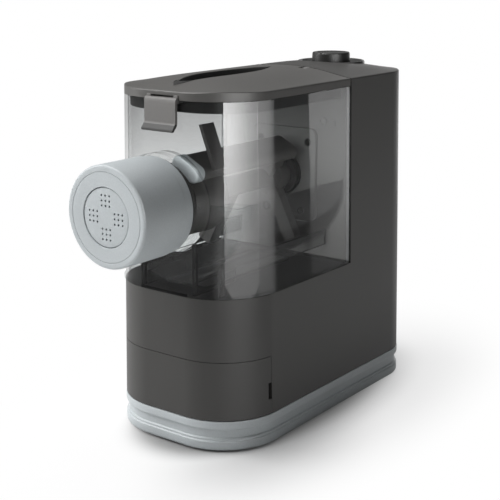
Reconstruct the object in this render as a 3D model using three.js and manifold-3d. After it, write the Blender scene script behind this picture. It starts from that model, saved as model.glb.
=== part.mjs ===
// Electric pasta maker with a horizontal extruder.
// Millimetres, +Z up. The nut and the drawer face -Y, the tower stands at +Y.
// The origin lies on the table, under the middle of the machine's outer box.

import * as THREE from 'three';
import { mergeVertices } from 'three/addons/utils/BufferGeometryUtils.js';
import Module from 'manifold-3d';

const wasm = await Module();
wasm.setup();

// Body plan, measured where the housing meets the base ring
const HALF_WIDTH = 67.5;
const FRONT = -125;
const REAR = 133.3;
const FRONT_RADIUS = 48.8;
const REAR_RADIUS = 37;
const MIDDLE = (FRONT + REAR) / 2;
const HALF_LENGTH = (REAR - FRONT) / 2;
const CORNER_FACETS = 4;

// Heights above the table
const FEET = 1.5;
const RING_TOP = 24.6;
const DRAWER_LOW = 25.1;
const DRAWER_TOP = 70;
const DECK = 118.1;
const LID_LOW = 260.1;
const LID_EDGE = 266.1;
const CROWN = 7.4;

// The housing leans in by this share of its width and length between ring and lid
const LEAN_WIDTH = 0.0622;
const LEAN_LENGTH = 0.0325;

// Walls and gaps
const WALL = 3;
const SKIN = 2.6;
const CLEAR_WALL = 2.5;
const GAP = 0.3;
const RING_PROUD = 0.3;

// Tower and drive
const TOWER = 29.5;
const AXIS = 185.1;
const HUB_HOLE = 17;

// Extruder, measured along the drive axis
const NUT_FACE = -181.7;
const NUT_REAR = -130.8;
const NUT_RADIUS = 36.6;
const FACE_OPENING = 21.4;
const BARREL_RADIUS = 30.8;
const BARREL_BORE = 27;
const DISC_RADIUS = 28.6;
const TROUGH_RADIUS = 60.2;
const TROUGH_FRONT = -113;
const CHAMBER_REAR = 26.5;

// Lid and latch
const LID_REAR = 27.8;
const HINGE = { x: 22, y: 24, z: 269.8 };
const SLOT = { middle: -49, halfLength: 58, halfWidth: 13 };
const LATCH_HALF = 14.6;
const LATCH_PIN = { y: -115.6, z: 262.2 };

// Dial on the tower
const DIAL_Y = 97;
const DIAL_RADIUS = 16.3;
const DIAL_TOP = 279.3;
const BEZEL_RADIUS = 28.6;

// Drawer
const DRAWER_SPLIT = -80;
const BAY = { half: 57, rear: 22, top: 69 };
const TRAY = { half: 50, front: -112, rear: 16, top: 60 };

// Gear train: module, then teeth
const FINAL = { module: 2.5, wheel: 35, pinion: 10 };
const FIRST = { module: 2, wheel: 32, pinion: 10 };
const IDLER_AXIS = AXIS - (FINAL.module * (FINAL.wheel + FINAL.pinion)) / 2;
const MOTOR_AXIS = IDLER_AXIS - (FIRST.module * (FIRST.wheel + FIRST.pinion)) / 2;

// Plastics and metals
const finish = (color, roughness, metalness = 0) =>
  new THREE.MeshStandardMaterial({ color, roughness, metalness });
const GREY = finish(0x4a4947, 0.5);
const DARK = finish(0x2a2a29, 0.55);
const PALE = finish(0xa6acae, 0.45);
const MID = finish(0x767573, 0.5);
const CLEAR = new THREE.MeshStandardMaterial({
  color: 0xd8dcdc, roughness: 0.08, transparent: true, opacity: 0.3,
});
const RUBBER = finish(0x1b1b1b, 0.9);
const STEEL = finish(0xb8babd, 0.3, 1);
const NYLON = finish(0xe4e0d2, 0.5);
const BOARD = finish(0x2f5d3a, 0.6);

// Solids

function toSolid(geometry) {
  const bare = geometry.index ? geometry.toNonIndexed() : geometry.clone();
  bare.deleteAttribute('normal');
  bare.deleteAttribute('uv');
  const merged = mergeVertices(bare, 1e-4);
  const index = merged.index.array;
  const kept = [];
  for (let i = 0; i < index.length; i += 3) {
    const [a, b, c] = [index[i], index[i + 1], index[i + 2]];
    if (a !== b && b !== c && c !== a) kept.push(a, b, c);
  }
  const make = (triangles) => new wasm.Manifold(new wasm.Mesh({
    numProp: 3,
    vertProperties: new Float32Array(merged.attributes.position.array),
    triVerts: new Uint32Array(triangles),
  }));
  const solid = make(kept);
  if (solid.volume() > 0) return solid;
  const turned = [];
  for (let i = 0; i < kept.length; i += 3) turned.push(kept[i], kept[i + 2], kept[i + 1]);
  return make(turned);
}

function toGeometry(solid) {
  const { vertProperties, triVerts, numProp } = solid.getMesh();
  const positions = new Float32Array(triVerts.length * 3);
  triVerts.forEach((vertex, i) => {
    for (let k = 0; k < 3; k++) positions[3 * i + k] = vertProperties[numProp * vertex + k];
  });
  const geometry = new THREE.BufferGeometry();
  geometry.setAttribute('position', new THREE.BufferAttribute(positions, 3));
  geometry.computeVertexNormals();
  return geometry;
}

const join = (...solids) => solids.reduce((all, solid) => all.add(solid));
const cut = (solid, ...tools) => tools.reduce((left, tool) => left.subtract(tool), solid);
const bothSides = (make) => [-1, 1].map(make);

// Moves every vertex by a rule of its own place
function shaped(geometry, rule) {
  const position = geometry.attributes.position;
  const point = new THREE.Vector3();
  for (let i = 0; i < position.count; i++) {
    point.fromBufferAttribute(position, i);
    rule(point);
    position.setXYZ(i, point.x, point.y, point.z);
  }
  return geometry;
}

function lean(point) {
  const share = (point.z - RING_TOP) / (LID_LOW - RING_TOP);
  point.x *= 1 - LEAN_WIDTH * share;
  point.y = MIDDLE + (point.y - MIDDLE) * (1 - LEAN_LENGTH * share);
}

function box(x0, x1, y0, y1, z0, z1) {
  const geometry = new THREE.BoxGeometry(x1 - x0, y1 - y0, z1 - z0);
  return toSolid(geometry.translate((x0 + x1) / 2, (y0 + y1) / 2, (z0 + z1) / 2));
}

// Everything across the width between two places in Y and two heights
const slab = (y0, y1, z0, z1) => box(-90, 90, y0, y1, z0, z1);

const options = (depth, curveSegments) => ({ depth, curveSegments, bevelEnabled: false });

// A plan outline raised from z0 to z1
function raise(shape, z0, z1, segments = CORNER_FACETS) {
  return new THREE.ExtrudeGeometry(shape, options(z1 - z0, segments)).translate(0, 0, z0);
}

// A front view outline in x and z, carried along Y from y0 to y1
function along(shape, y0, y1, segments = 3) {
  const geometry = new THREE.ExtrudeGeometry(shape, options(y1 - y0, segments));
  return geometry.rotateX(Math.PI / 2).translate(0, y1, 0);
}

// A side view outline in y and z, carried along X from x0 to x1
function across(shape, x0, x1, segments = 4) {
  const geometry = new THREE.ExtrudeGeometry(shape, options(x1 - x0, segments));
  const turn = new THREE.Matrix4().makeBasis(
    new THREE.Vector3(0, 1, 0), new THREE.Vector3(0, 0, 1), new THREE.Vector3(1, 0, 0));
  return geometry.applyMatrix4(turn).translate(x0, 0, 0);
}

// A profile of [radius, height] pairs turned about a vertical axis
function turnUpright(profile, x, y, segments = 16) {
  const points = profile.map(([radius, height]) => new THREE.Vector2(radius, height));
  const geometry = new THREE.LatheGeometry(points, segments);
  return toSolid(geometry.rotateX(Math.PI / 2).translate(x, y, 0));
}

// A profile of [radius, y] pairs turned about an axis along Y
function turnAlong(profile, x = 0, z = AXIS, segments = 20) {
  const points = profile.map(([radius, y]) => new THREE.Vector2(radius, y));
  return toSolid(new THREE.LatheGeometry(points, segments).translate(x, 0, z));
}

const tube = (inner, outer, low, high) =>
  [[inner, low], [outer, low], [outer, high], [inner, high], [inner, low]];
const rod = (radius, low, high) => [[0, low], [radius, low], [radius, high], [0, high]];

const vectors = (points) => points.map(([a, b]) => new THREE.Vector2(a, b));
const polygon = (points) => new THREE.Shape(vectors(points));

function circlePoints(x, y, radius, sides) {
  return Array.from({ length: sides }, (_, i) => {
    const angle = (2 * Math.PI * i) / sides;
    return [x + radius * Math.cos(angle), y + radius * Math.sin(angle)];
  });
}

const circle = (x, y, radius, sides) => polygon(circlePoints(x, y, radius, sides));

function roundedRectangle(x0, x1, y0, y1, radius) {
  const shape = new THREE.Shape();
  const quarter = Math.PI / 2;
  shape.absarc(x1 - radius, y0 + radius, radius, -quarter, 0);
  shape.absarc(x1 - radius, y1 - radius, radius, 0, quarter);
  shape.absarc(x0 + radius, y1 - radius, radius, quarter, 2 * quarter);
  shape.absarc(x0 + radius, y0 + radius, radius, 2 * quarter, 3 * quarter);
  shape.closePath();
  return shape;
}

// The body's plan outline, set in or out by an offset
function plan(offset = 0) {
  const [x, y0, y1] = [HALF_WIDTH + offset, FRONT - offset, REAR + offset];
  const [front, rear] = [FRONT_RADIUS + offset, REAR_RADIUS + offset];
  const quarter = Math.PI / 2;
  const shape = new THREE.Shape();
  shape.absarc(x - front, y0 + front, front, -quarter, 0);
  shape.absarc(x - rear, y1 - rear, rear, 0, quarter);
  shape.absarc(rear - x, y1 - rear, rear, quarter, 2 * quarter);
  shape.absarc(front - x, y0 + front, front, 2 * quarter, 3 * quarter);
  shape.closePath();
  return shape;
}

const upright = (offset, z0, z1) => toSolid(raise(plan(offset), z0, z1));
const leaning = (offset, z0, z1) => toSolid(shaped(raise(plan(offset), z0, z1), lean));

// Height of the domed top over a point of the plan
function domeHeight(x, y) {
  const share = (LID_LOW - RING_TOP + 4) / (LID_LOW - RING_TOP);
  const wide = Math.abs(x) / (HALF_WIDTH * (1 - LEAN_WIDTH * share));
  const long = Math.abs(y - MIDDLE) / (HALF_LENGTH * (1 - LEAN_LENGTH * share));
  const corner = wide ** 4 + long ** 6;
  return LID_EDGE + CROWN * Math.max(-0.4, (1 - wide ** 2.1) * (1 - long ** 8) * (1 - 0.55 * corner));
}

// Everything under the domed top, lowered by a depth. The rows lie closer together towards both ends
function underDome(depth) {
  const reach = 145;
  return toSolid(shaped(new THREE.BoxGeometry(150, 2, 100, 8, 12, 1), (point) => {
    point.y = MIDDLE + reach * Math.sign(point.y) * Math.abs(point.y) ** 0.55;
    point.z = point.z > 0 ? domeHeight(point.x, point.y) - depth : -10;
  }));
}

const DOME = underDome(0);
const DOME_INSIDE = underDome(SKIN);

// Assembly, centred over the origin

const machine = new THREE.Group();
machine.position.set(0, -(NUT_FACE + REAR + RING_PROUD) / 2, 0);

function add(name, solid, material) {
  const mesh = new THREE.Mesh(toGeometry(solid), material);
  mesh.name = name;
  machine.add(mesh);
}

// Base: a ring with a groove round it, a floor plate, four feet and four screws

const FOOT_PLACES = [[-40, -82], [40, -82], [-42, 100], [42, 100]];
const BASE_SCREW_PLACES = [[-52, 36], [52, 36], [-52, 76], [52, 76]];

function baseRing() {
  const rim = cut(upright(RING_PROUD, FEET, RING_TOP), upright(-4.5, FEET - 1, RING_TOP + 1));
  const lip = cut(upright(-4.4, 3.6, 5.6), upright(-9, 3, 6));
  const groove = cut(upright(5, 9, 18.2), upright(-1.7, 8, 19));
  return cut(join(rim, lip), groove);
}

function basePlate() {
  const footHoles = FOOT_PLACES.map(([x, y]) => toSolid(raise(circle(x, y, 3.3, 10), 5, 10)));
  const screwHoles = BASE_SCREW_PLACES.map(([x, y]) => toSolid(raise(circle(x, y, 2.3, 8), 5, 10)));
  const slots = [52, 60, 68, 76, 84].map((y) => box(-22, 22, y, y + 3, 5, 10));
  return cut(upright(-5, 5.9, 8.9), ...footHoles, ...screwHoles, ...slots);
}

function foot(x, y) {
  return turnUpright(
    [[0, 0], [7.4, 0], [8.4, 1], [8.4, 5.6], [2.9, 5.6], [2.9, 9.6], [0, 9.6]], x, y, 10);
}

function baseScrew(x, y) {
  return turnUpright([[0, 4], [3.6, 4], [3.6, 5.6], [1.9, 5.6], [1.9, 16], [0, 16]], x, y, 8);
}

// Housing: one shell for the lower body and the tower

const VENTS = { columns: 9, pitch: 5.2, width: 2.2, low: 96, high: 132 };
const INLET = { half: 12, low: 38, high: 54, mouth: 16 };

function housing() {
  const outside = leaning(0, RING_TOP + GAP, 290).intersect(DOME);
  const room = cut(
    leaning(-WALL, RING_TOP - 1, 290).intersect(DOME_INSIDE),
    slab(FRONT - 10, TOWER - 0.01, DECK - WALL, 300),
    slab(FRONT - 10, DRAWER_SPLIT + WALL, 0, DRAWER_TOP + WALL));
  const shell = cut(
    outside, room,
    slab(FRONT - 10, TOWER, DECK, 300),
    slab(FRONT - 10, DRAWER_SPLIT, 0, DRAWER_TOP + 0.4),
    box(-BAY.half - 2.5, BAY.half + 2.5, DRAWER_SPLIT - 5, DRAWER_SPLIT + 6, 20, BAY.top + 2.2));
  const well = turnUpright(
    [[24, 259.6], [31, 259.6], [31, 269.6], [29.1, 269.6], [29.1, 262.2], [24, 262.2], [24, 259.6]],
    0, DIAL_Y, 20).intersect(DOME_INSIDE);
  const ledges = bothSides((side) =>
    box(side * 34 - 4, side * 34 + 4, 119, 140, 237, 241.3).intersect(leaning(-1, 200, 290)));
  return cut(join(shell, well, ...ledges, ...screwBosses()), ...openings());
}

function openings() {
  const vents = Array.from({ length: VENTS.columns }, (_, i) => {
    const x = (i - (VENTS.columns - 1) / 2) * VENTS.pitch;
    return box(x - VENTS.width / 2, x + VENTS.width / 2, REAR - 12, REAR + 5, VENTS.low, VENTS.high);
  });
  const socket = roundedRectangle(-INLET.half - 1, INLET.half + 1, INLET.low - 1, INLET.high + 1, 3);
  const dialHole = turnUpright(rod(BEZEL_RADIUS + 0.5, 262.2, 300), 0, DIAL_Y, 20);
  return [...vents, toSolid(along(socket, REAR - 12, REAR + 5)), dialHole];
}

function screwBosses() {
  return BASE_SCREW_PLACES.map(([x, y]) => {
    const ends = [x + Math.sign(x) * 3, Math.sign(x) * 66];
    const web = box(Math.min(...ends), Math.max(...ends), y - 1, y + 1, 25, 29);
    return join(turnUpright(tube(2.3, 4.2, 9.2, 30), x, y, 8), web);
  });
}

// Front wall of the tower, with the raised plate round the drive hub

const PLATE = { half: 31, low: 147, high: 223.5, thickness: 1.2 };
const PLATE_SCREWS = [[-23.7, 212.5], [23.7, 212.5], [-17.4, 155], [17.4, 155]];

const screwHole = (x, z) => toSolid(along(circle(x, z, 2.2, 8), TOWER - 6, TOWER + 6));
const hubHole = (radius) => turnAlong(rod(radius, TOWER - 12, TOWER + 6));

function towerWall() {
  const room = leaning(-WALL - GAP, DECK - WALL + GAP, 290).intersect(underDome(SKIN + GAP));
  const wall = cut(
    room.intersect(slab(TOWER + GAP, TOWER + 3.6, 100, 300)),
    hubHole(HUB_HOLE), ...PLATE_SCREWS.map(([x, z]) => screwHole(x, z)));
  const sensor = toSolid(along(circle(37.4, 230.7, 3.4, 12), TOWER - 0.9, TOWER + 0.6));
  const key = toSolid(along(roundedRectangle(43.2, 48.6, 227, 232, 1), TOWER - 0.5, TOWER + 0.6, 1));
  return join(wall, sensor, key, ...bothSides((side) => hingeLug(side * HINGE.x)));
}

function hingeLug(x) {
  const side = polygon([
    [TOWER + 0.6, 262], [TOWER + 0.6, 257], [HINGE.y - 1.6, HINGE.z - 2.4], [HINGE.y - 2.7, HINGE.z],
    [HINGE.y - 2.2, HINGE.z + 2], [HINGE.y + 1.2, HINGE.z + 2], [TOWER - 0.5, HINGE.z + 1.4],
    [TOWER - 0.5, 268], [TOWER + 0.6, 268]]);
  const bore = toSolid(across(circle(HINGE.y, HINGE.z, 1.35, 10), x - 5, x + 5));
  return toSolid(across(side, x - 3, x + 3)).intersect(underDome(0.4)).subtract(bore);
}

function couplingPlate() {
  const face = roundedRectangle(-PLATE.half, PLATE.half, PLATE.low, PLATE.high, 6);
  const plate = toSolid(along(face, TOWER - PLATE.thickness, TOWER));
  return cut(plate, hubHole(HUB_HOLE), ...PLATE_SCREWS.map(([x, z]) => screwHole(x, z)));
}

function plateScrew(x, z) {
  const seat = TOWER - PLATE.thickness - GAP;
  return turnAlong(
    [[0, seat - 1.1], [2.5, seat - 1.1], [3.1, seat - 0.6], [3.1, seat],
      [1.8, seat], [1.8, seat + 8], [0, seat + 8]], x, z, 8);
}

// Clear mixing chamber: the outer walls on their floor, with the collar that the barrel comes through

function mixingChamber() {
  const top = LID_LOW - GAP;
  const forward = slab(FRONT - 10, CHAMBER_REAR, DECK - 5, 300);
  const walls = cut(leaning(0, DECK + GAP, top), leaning(-CLEAR_WALL, DECK, top + 5)).intersect(forward);
  const ribs = bothSides((side) =>
    box(side * 25 - 1, side * 25 + 1, -118, -70, DECK + GAP, AXIS - 57));
  const floor = cut(
    leaning(-1, DECK + GAP, DECK + 2.3).intersect(forward),
    box(-21, 21, -100, 10, DECK - 5, DECK + 10));
  const collar = turnAlong(rod(37.4, -129, TROUGH_FRONT - 1), 0, AXIS, 24);
  return cut(
    join(walls, ...ribs, floor, collar),
    turnAlong(rod(BARREL_RADIUS + 0.5, -140, TROUGH_FRONT + 5), 0, AXIS, 24),
    box(-15.4, 15.4, -130, -108, 253, 300));
}

// Clear trough that hangs inside the walls, with its front and rear ends and two rails below

function mixingTrough() {
  const fit = CLEAR_WALL + GAP;
  const shell = cut(
    troughForm(TROUGH_RADIUS + 1.6, TROUGH_FRONT - 2, CHAMBER_REAR, AXIS + 2),
    troughForm(TROUGH_RADIUS, TROUGH_FRONT, CHAMBER_REAR - 2.4, 300));
  const rearWall = leaning(-fit, AXIS, LID_LOW - GAP)
    .intersect(slab(CHAMBER_REAR - 2.4, CHAMBER_REAR, 0, 300));
  const rails = bothSides((side) =>
    box(side * 43 - 1, side * 43 + 1, TROUGH_FRONT + 3, CHAMBER_REAR, 131, AXIS - 41));
  return cut(
    join(shell.intersect(leaning(-fit, DECK, 290)), rearWall, ...rails),
    turnAlong(rod(37.4 + GAP, -140, TROUGH_FRONT + 1), 0, AXIS, 24),
    hubHole(HUB_HOLE + GAP));
}

// Round below the axis, straight above it up to the rim
function troughForm(radius, y0, y1, rim) {
  const section = new THREE.Shape();
  section.moveTo(radius, rim);
  section.lineTo(-radius, rim);
  section.lineTo(-radius, AXIS);
  section.absarc(0, AXIS, radius, Math.PI, 2 * Math.PI, false);
  section.closePath();
  return toSolid(along(section, y0, y1, 8));
}

// Extruder: barrel, seals, shaping disc and the nut that holds it

function extruderBarrel() {
  return turnAlong([
    [BARREL_BORE, -170], [29.6, -170], [29.6, -157], [BARREL_RADIUS, -156],
    [32.4, -154], [32.4, -144], [BARREL_RADIUS, -142], [BARREL_RADIUS, TROUGH_FRONT + 3],
    [BARREL_BORE, TROUGH_FRONT + 3], [BARREL_BORE, -170]], 0, AXIS, 24);
}

function barrelSeal() {
  return turnAlong(tube(BARREL_RADIUS + 0.5, 35, -130.5, -129.3));
}

const HOLE_GROUPS = [[11.8, 0], [-11.8, 0], [0, 11.8], [0, -11.8]];
const HOLE_PITCH = 3.65;
const HOLE_RADIUS = 0.8;

function shapingDisc() {
  const face = circle(0, AXIS, FACE_OPENING - 0.5, 28);
  for (const [u, w] of HOLE_GROUPS) {
    for (const column of [-1, 0, 1]) {
      for (const row of [-1, 0, 1]) {
        const [x, z] = [u + column * HOLE_PITCH, AXIS + w + row * HOLE_PITCH];
        face.holes.push(new THREE.Path(vectors(circlePoints(x, z, HOLE_RADIUS, 6))));
      }
    }
  }
  const plate = toSolid(along(face, NUT_FACE + 0.4, NUT_FACE + 4.5));
  return join(plate, turnAlong(tube(19, DISC_RADIUS, NUT_FACE + 4.3, NUT_FACE + 8.4), 0, AXIS, 28));
}

function discSeal() {
  return turnAlong(tube(22, 28.2, NUT_FACE + 8.7, -170.3));
}

function frontNut() {
  const bore = 33.2;
  return turnAlong([
    [FACE_OPENING, NUT_FACE], [31.4, NUT_FACE], [31.6, NUT_FACE + 0.6], [32.2, NUT_FACE],
    [35.4, NUT_FACE], [NUT_RADIUS, NUT_FACE + 1.4], [NUT_RADIUS, -139.2], [NUT_RADIUS - 0.7, -138.6],
    [NUT_RADIUS - 0.7, NUT_REAR], [bore, NUT_REAR], [bore, -171.7], [29.2, -173.2], [29.2, NUT_FACE + 4],
    [FACE_OPENING, NUT_FACE + 4], [FACE_OPENING, NUT_FACE]], 0, AXIS, 28);
}

// Screw that pushes the dough through the disc: a fin wound round a core

const AUGER = { core: 8, rim: 25.6, front: -168, rear: -123, pitch: 26 };

function augerScrew() {
  const { core, rim, front, rear, pitch } = AUGER;
  const section = new THREE.Shape();
  section.absarc(0, 0, core, 0.2, 2 * Math.PI - 0.2, false);
  section.lineTo(rim * Math.cos(0.09), -rim * Math.sin(0.09));
  section.lineTo(rim * Math.cos(0.09), rim * Math.sin(0.09));
  section.closePath();
  const geometry = new THREE.ExtrudeGeometry(section, {
    depth: rear - front, steps: 24, curveSegments: 4, bevelEnabled: false,
  });
  shaped(geometry, (point) => {
    const angle = (2 * Math.PI * point.z) / pitch;
    const { x, y } = point;
    point.x = x * Math.cos(angle) - y * Math.sin(angle);
    point.y = x * Math.sin(angle) + y * Math.cos(angle);
  });
  const screw = toSolid(geometry.rotateX(Math.PI / 2).translate(0, rear, AXIS));
  return screw.subtract(turnAlong(rod(3.4, -152, rear + 5), 0, AXIS, 6));
}

// Mixing paddle: drum, shaft, a long bar beside the axis, and flat arms

const BAR = { angle: 1.08, inner: 22.5, outer: 33.5, half: 12.5, front: -104, rear: 12 };

const aroundAxis = (geometry, angle) => toSolid(geometry.rotateY(-angle).translate(0, 0, AXIS));

function paddleArm(angle, r0, r1, y0, y1, thickness) {
  const half = thickness / 2;
  const blade = polygon([
    [r0, -half], [r1 - 2, -half], [r1, 2 - half], [r1, half - 2], [r1 - 2, half], [r0, half]]);
  return aroundAxis(along(blade, y0, y1), angle);
}

function barForm(y0, y1, growth) {
  const [inner, outer, half] = [BAR.inner - growth, BAR.outer + growth, BAR.half + growth];
  const section = roundedRectangle(inner, outer, -half, half, (outer - inner) / 2 - 0.1);
  return aroundAxis(along(section, y0, y1), BAR.angle);
}

function mixingPaddle() {
  const drum = turnAlong([
    [0, -119], [5.6, -119], [5.6, -112.8], [24.5, -111], [27, -108], [28, -84], [24, -76], [8.4, -64],
    [8, 2], [14.6, 6], [14.6, 12], [11.6, 13], [11.6, 24.5], [9, 25], [9, TOWER + 0.6],
    [0, TOWER + 0.6]], 0, AXIS, 16);
  const tongue = turnAlong(rod(3, -140, -118), 0, AXIS, 6);
  const padRoom = barForm(BAR.front - 12, BAR.front, 1.1);
  const arms = [
    paddleArm(BAR.angle, 6, 26, -4, 10, 12),
    paddleArm(1.36, 26, 56.5, -92, -80, 11),
    paddleArm(-1.12, 6, 54, 4, 13, 11),
    paddleArm(BAR.angle + Math.PI, 6, 52, -48, -36, 12),
    paddleArm(3.5, 20, 54, -98, -88, 11),
  ];
  return join(drum.subtract(padRoom), tongue, barForm(BAR.front, BAR.rear, 0), ...arms);
}

function paddleScraper() {
  return barForm(BAR.front - 5.2, BAR.front - GAP, 0.8);
}

function hubSeal() {
  return turnAlong(tube(12, 16.8, 21.1, 26.3));
}

// Drive: coupling, gears, axles, bearings, motor

function driveCoupling() {
  return turnAlong([
    [9.4, TOWER - 1.6], [13, TOWER - 1.6], [13.4, TOWER - 1], [13.4, 37], [6, 37], [6, 71.6],
    [0, 71.6], [0, 31.4], [9.4, 31.4], [9.4, TOWER - 1.6]]);
}

// Teeth with straight flanks, each a little thinner than the gap it runs in
function gear({ module }, teeth, turn, bore, y0, y1, z) {
  const pitch = (module * teeth) / 2;
  const [root, tip] = [pitch - 1.2 * module, pitch + 0.85 * module];
  const quarterPitch = Math.PI / 2 / teeth;
  const wide = 1.5 * quarterPitch - 0.15 / root;
  const narrow = 0.5 * quarterPitch - 0.15 / tip;
  const points = [];
  for (let i = 0; i < teeth; i++) {
    const middle = turn + (2 * Math.PI * i) / teeth;
    for (const [radius, angle] of [[root, -wide], [tip, -narrow], [tip, narrow], [root, wide]]) {
      points.push([radius * Math.cos(middle + angle), radius * Math.sin(middle + angle)]);
    }
  }
  const shape = polygon(points);
  shape.holes.push(new THREE.Path(vectors(circlePoints(0, 0, bore, 12))));
  return toSolid(along(shape, y0, y1).translate(0, 0, z));
}

const DOWN = -Math.PI / 2;
const UP = Math.PI / 2;

function outputGear() {
  const wheel = gear(FINAL, FINAL.wheel, DOWN, 8.5, 44, 54, AXIS);
  const windows = circlePoints(0, AXIS, 25, 4).map(([x, z]) =>
    toSolid(along(circle(x, z, 8, 6), 40, 60)));
  return join(cut(wheel, ...windows), turnAlong(tube(6.3, 11, 41.4, 56.6)));
}

function idlerGear() {
  const wheel = gear(FIRST, FIRST.wheel, DOWN, 4.3, 58.4, 65, IDLER_AXIS);
  const pinion = gear(FINAL, FINAL.pinion, UP + Math.PI / FINAL.pinion, 4.3, 43, 58.6, IDLER_AXIS);
  return join(wheel, pinion);
}

function motorPinion() {
  return gear(FIRST, FIRST.pinion, UP + Math.PI / FIRST.pinion, 2.8, 57.6, 65.8, MOTOR_AXIS);
}

const BEARING = { outer: 13, inner: 6.3, width: 3 };

function gearboxPlate(y0, y1, holes) {
  const plate = toSolid(along(roundedRectangle(-52, 52, 56, 237, 12), y0, y1));
  const cuts = holes.map(([radius, z]) => toSolid(along(circle(0, z, radius, 12), y0 - 5, y1 + 5)));
  return cut(plate, ...cuts);
}

const posts = (places, y0, y1) => places.map(([x, z]) => turnAlong(rod(4, y0, y1), x, z, 8));

function gearboxFront() {
  const plate = gearboxPlate(37.6, 40.6, [[BEARING.outer + 0.5, AXIS], [4.4, IDLER_AXIS]]);
  return join(plate, ...posts([[-44, 130], [44, 130], [-46, 229], [46, 229]], 33.4, 37.8));
}

function gearboxRear() {
  const plate = gearboxPlate(66.6, 69.6, [[BEARING.outer + 0.5, AXIS], [4.4, IDLER_AXIS], [9, MOTOR_AXIS]]);
  const boardPosts = bothSides((side) => box(side * 38 - 4, side * 38 + 4, 66.6, 69.6, 236, 241.3));
  return join(plate, ...posts([[-46, 64], [46, 64], [-46, 229], [46, 229]], 40.9, 67), ...boardPosts);
}

function bearing(y) {
  return turnAlong(tube(BEARING.inner, BEARING.outer, y, y + BEARING.width));
}

function idlerAxle() {
  return turnAlong(rod(4, 36, 71), 0, IDLER_AXIS, 16);
}

function motorCan() {
  const can = turnAlong([
    [3.2, 69.9], [11, 69.9], [11, 73.4], [27, 73.4], [29, 76], [29, 116], [3.2, 116], [3.2, 113],
    [26, 113], [26, 77], [3.2, 77], [3.2, 69.9]], 0, MOTOR_AXIS, 16);
  const window = new THREE.BoxGeometry(12, 16, 80).translate(0, 96, 0).rotateY(Math.PI / 4);
  return cut(can, toSolid(window.translate(0, 0, MOTOR_AXIS)));
}

function motorRotor() {
  return turnAlong([
    [0, 57], [2.5, 57], [2.5, 78], [22, 80], [22, 108], [2.5, 110], [2.5, 124], [0, 124]], 0, MOTOR_AXIS, 10);
}

function coolingFan() {
  const hub = turnAlong(tube(2.8, 8, 117.4, 123), 0, MOTOR_AXIS, 12);
  const blades = Array.from({ length: 7 }, (_, i) => toSolid(
    new THREE.BoxGeometry(17, 1.4, 6.4).rotateX(0.7).translate(15.6, 120.2, 0)
      .rotateY((i * 2 * Math.PI) / 7).translate(0, 0, MOTOR_AXIS)));
  return join(hub, ...blades);
}

// Controls and power

function dialBezel() {
  return turnUpright([
    [4.4, 266.6], [BEZEL_RADIUS - 1.4, 266.6], [BEZEL_RADIUS - 1.4, 262.5], [BEZEL_RADIUS, 262.5],
    [BEZEL_RADIUS, 271.2], [BEZEL_RADIUS - 0.9, 272.4], [BEZEL_RADIUS - 2.2, 272.4],
    [BEZEL_RADIUS - 5, 270.4], [17.4, 270.2], [17.4, 268.6], [4.4, 268.6], [4.4, 266.6]], 0, DIAL_Y, 20);
}

function dialKnob() {
  const knob = turnUpright([
    [0, 269.2], [DIAL_RADIUS - 1, 269.2], [DIAL_RADIUS, 270], [DIAL_RADIUS - 0.3, DIAL_TOP - 1],
    [DIAL_RADIUS - 1.3, DIAL_TOP], [DIAL_RADIUS - 2.6, DIAL_TOP], [DIAL_RADIUS - 4, DIAL_TOP - 0.7],
    [0, DIAL_TOP - 1.1]], 0, DIAL_Y, 20);
  const pointer = box(-0.9, 0.9, DIAL_Y - DIAL_RADIUS + 0.4, DIAL_Y - 6, DIAL_TOP - 1.7, DIAL_TOP + 2);
  return cut(knob, pointer);
}

function dialShaft() {
  return turnUpright(rod(4, 252.2, 268.9), 0, DIAL_Y);
}

function selectorSwitch() {
  const can = box(-13, 13, DIAL_Y - 13, DIAL_Y + 13, 243.6, 258);
  return cut(can, turnUpright(rod(4.4, 251.8, 262), 0, DIAL_Y));
}

function controlBoard() {
  const sheet = box(-40, 40, 56, 121, 241.6, 243.2);
  const blocks = [box(-38, -22, 62, 86, 243.1, 256), box(24, 38, 62, 78, 243.1, 254)];
  const cans = [turnUpright(rod(6, 243.1, 257), 30, 96, 10), turnUpright(rod(4, 243.1, 254), -32, 104, 10)];
  return join(sheet, ...blocks, ...cans);
}

function powerInlet() {
  const { half, low, high, mouth } = INLET;
  const face = roundedRectangle(-half - 0.7, half + 0.7, low - 0.7, high + 0.7, 3);
  const opening = roundedRectangle(-half + 2, half - 2, low + 2, high - 2, 3);
  const block = toSolid(along(face, REAR - mouth - 3, REAR - 0.6));
  const flange = box(-half - 4, half + 4, REAR - 7, REAR - 4, low - 4, high + 4);
  const pinHoles = bothSides((side) => turnAlong(rod(1.6, REAR - 21, REAR - 10), side * 4, 46, 8));
  return cut(join(block, flange), toSolid(along(opening, REAR - mouth, REAR + 2)), ...pinHoles);
}

function inletPin(x) {
  return turnAlong(
    [[0, REAR - 22], [1.2, REAR - 22], [1.2, REAR - 5.2], [0.6, REAR - 4.4], [0, REAR - 4.4]], x, 46, 8);
}

// Drawer: a front that wraps round the body's nose, and the tray behind it

function drawerFront() {
  const inside = leaning(-WALL + 0.2, 0, 290);
  const skin = cut(leaning(0, DRAWER_LOW, DRAWER_TOP), leaning(-WALL, DRAWER_LOW - 5, DRAWER_TOP + 5));
  const nose = skin.intersect(slab(FRONT - 10, DRAWER_SPLIT - GAP, 0, 300));
  const backing = box(-52, 52, TRAY.front - 3, TRAY.front - GAP, DRAWER_LOW + 2, 62).intersect(inside);
  const ribs = bothSides((side) =>
    box(side * 25 - 1.2, side * 25 + 1.2, -124, TRAY.front - 2, DRAWER_LOW, 62).intersect(inside));
  const grip = box(60, 80, DRAWER_SPLIT - 3.6, DRAWER_SPLIT + 1, 36.5, 49.5);
  return cut(join(nose, backing, ...ribs), grip);
}

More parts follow.
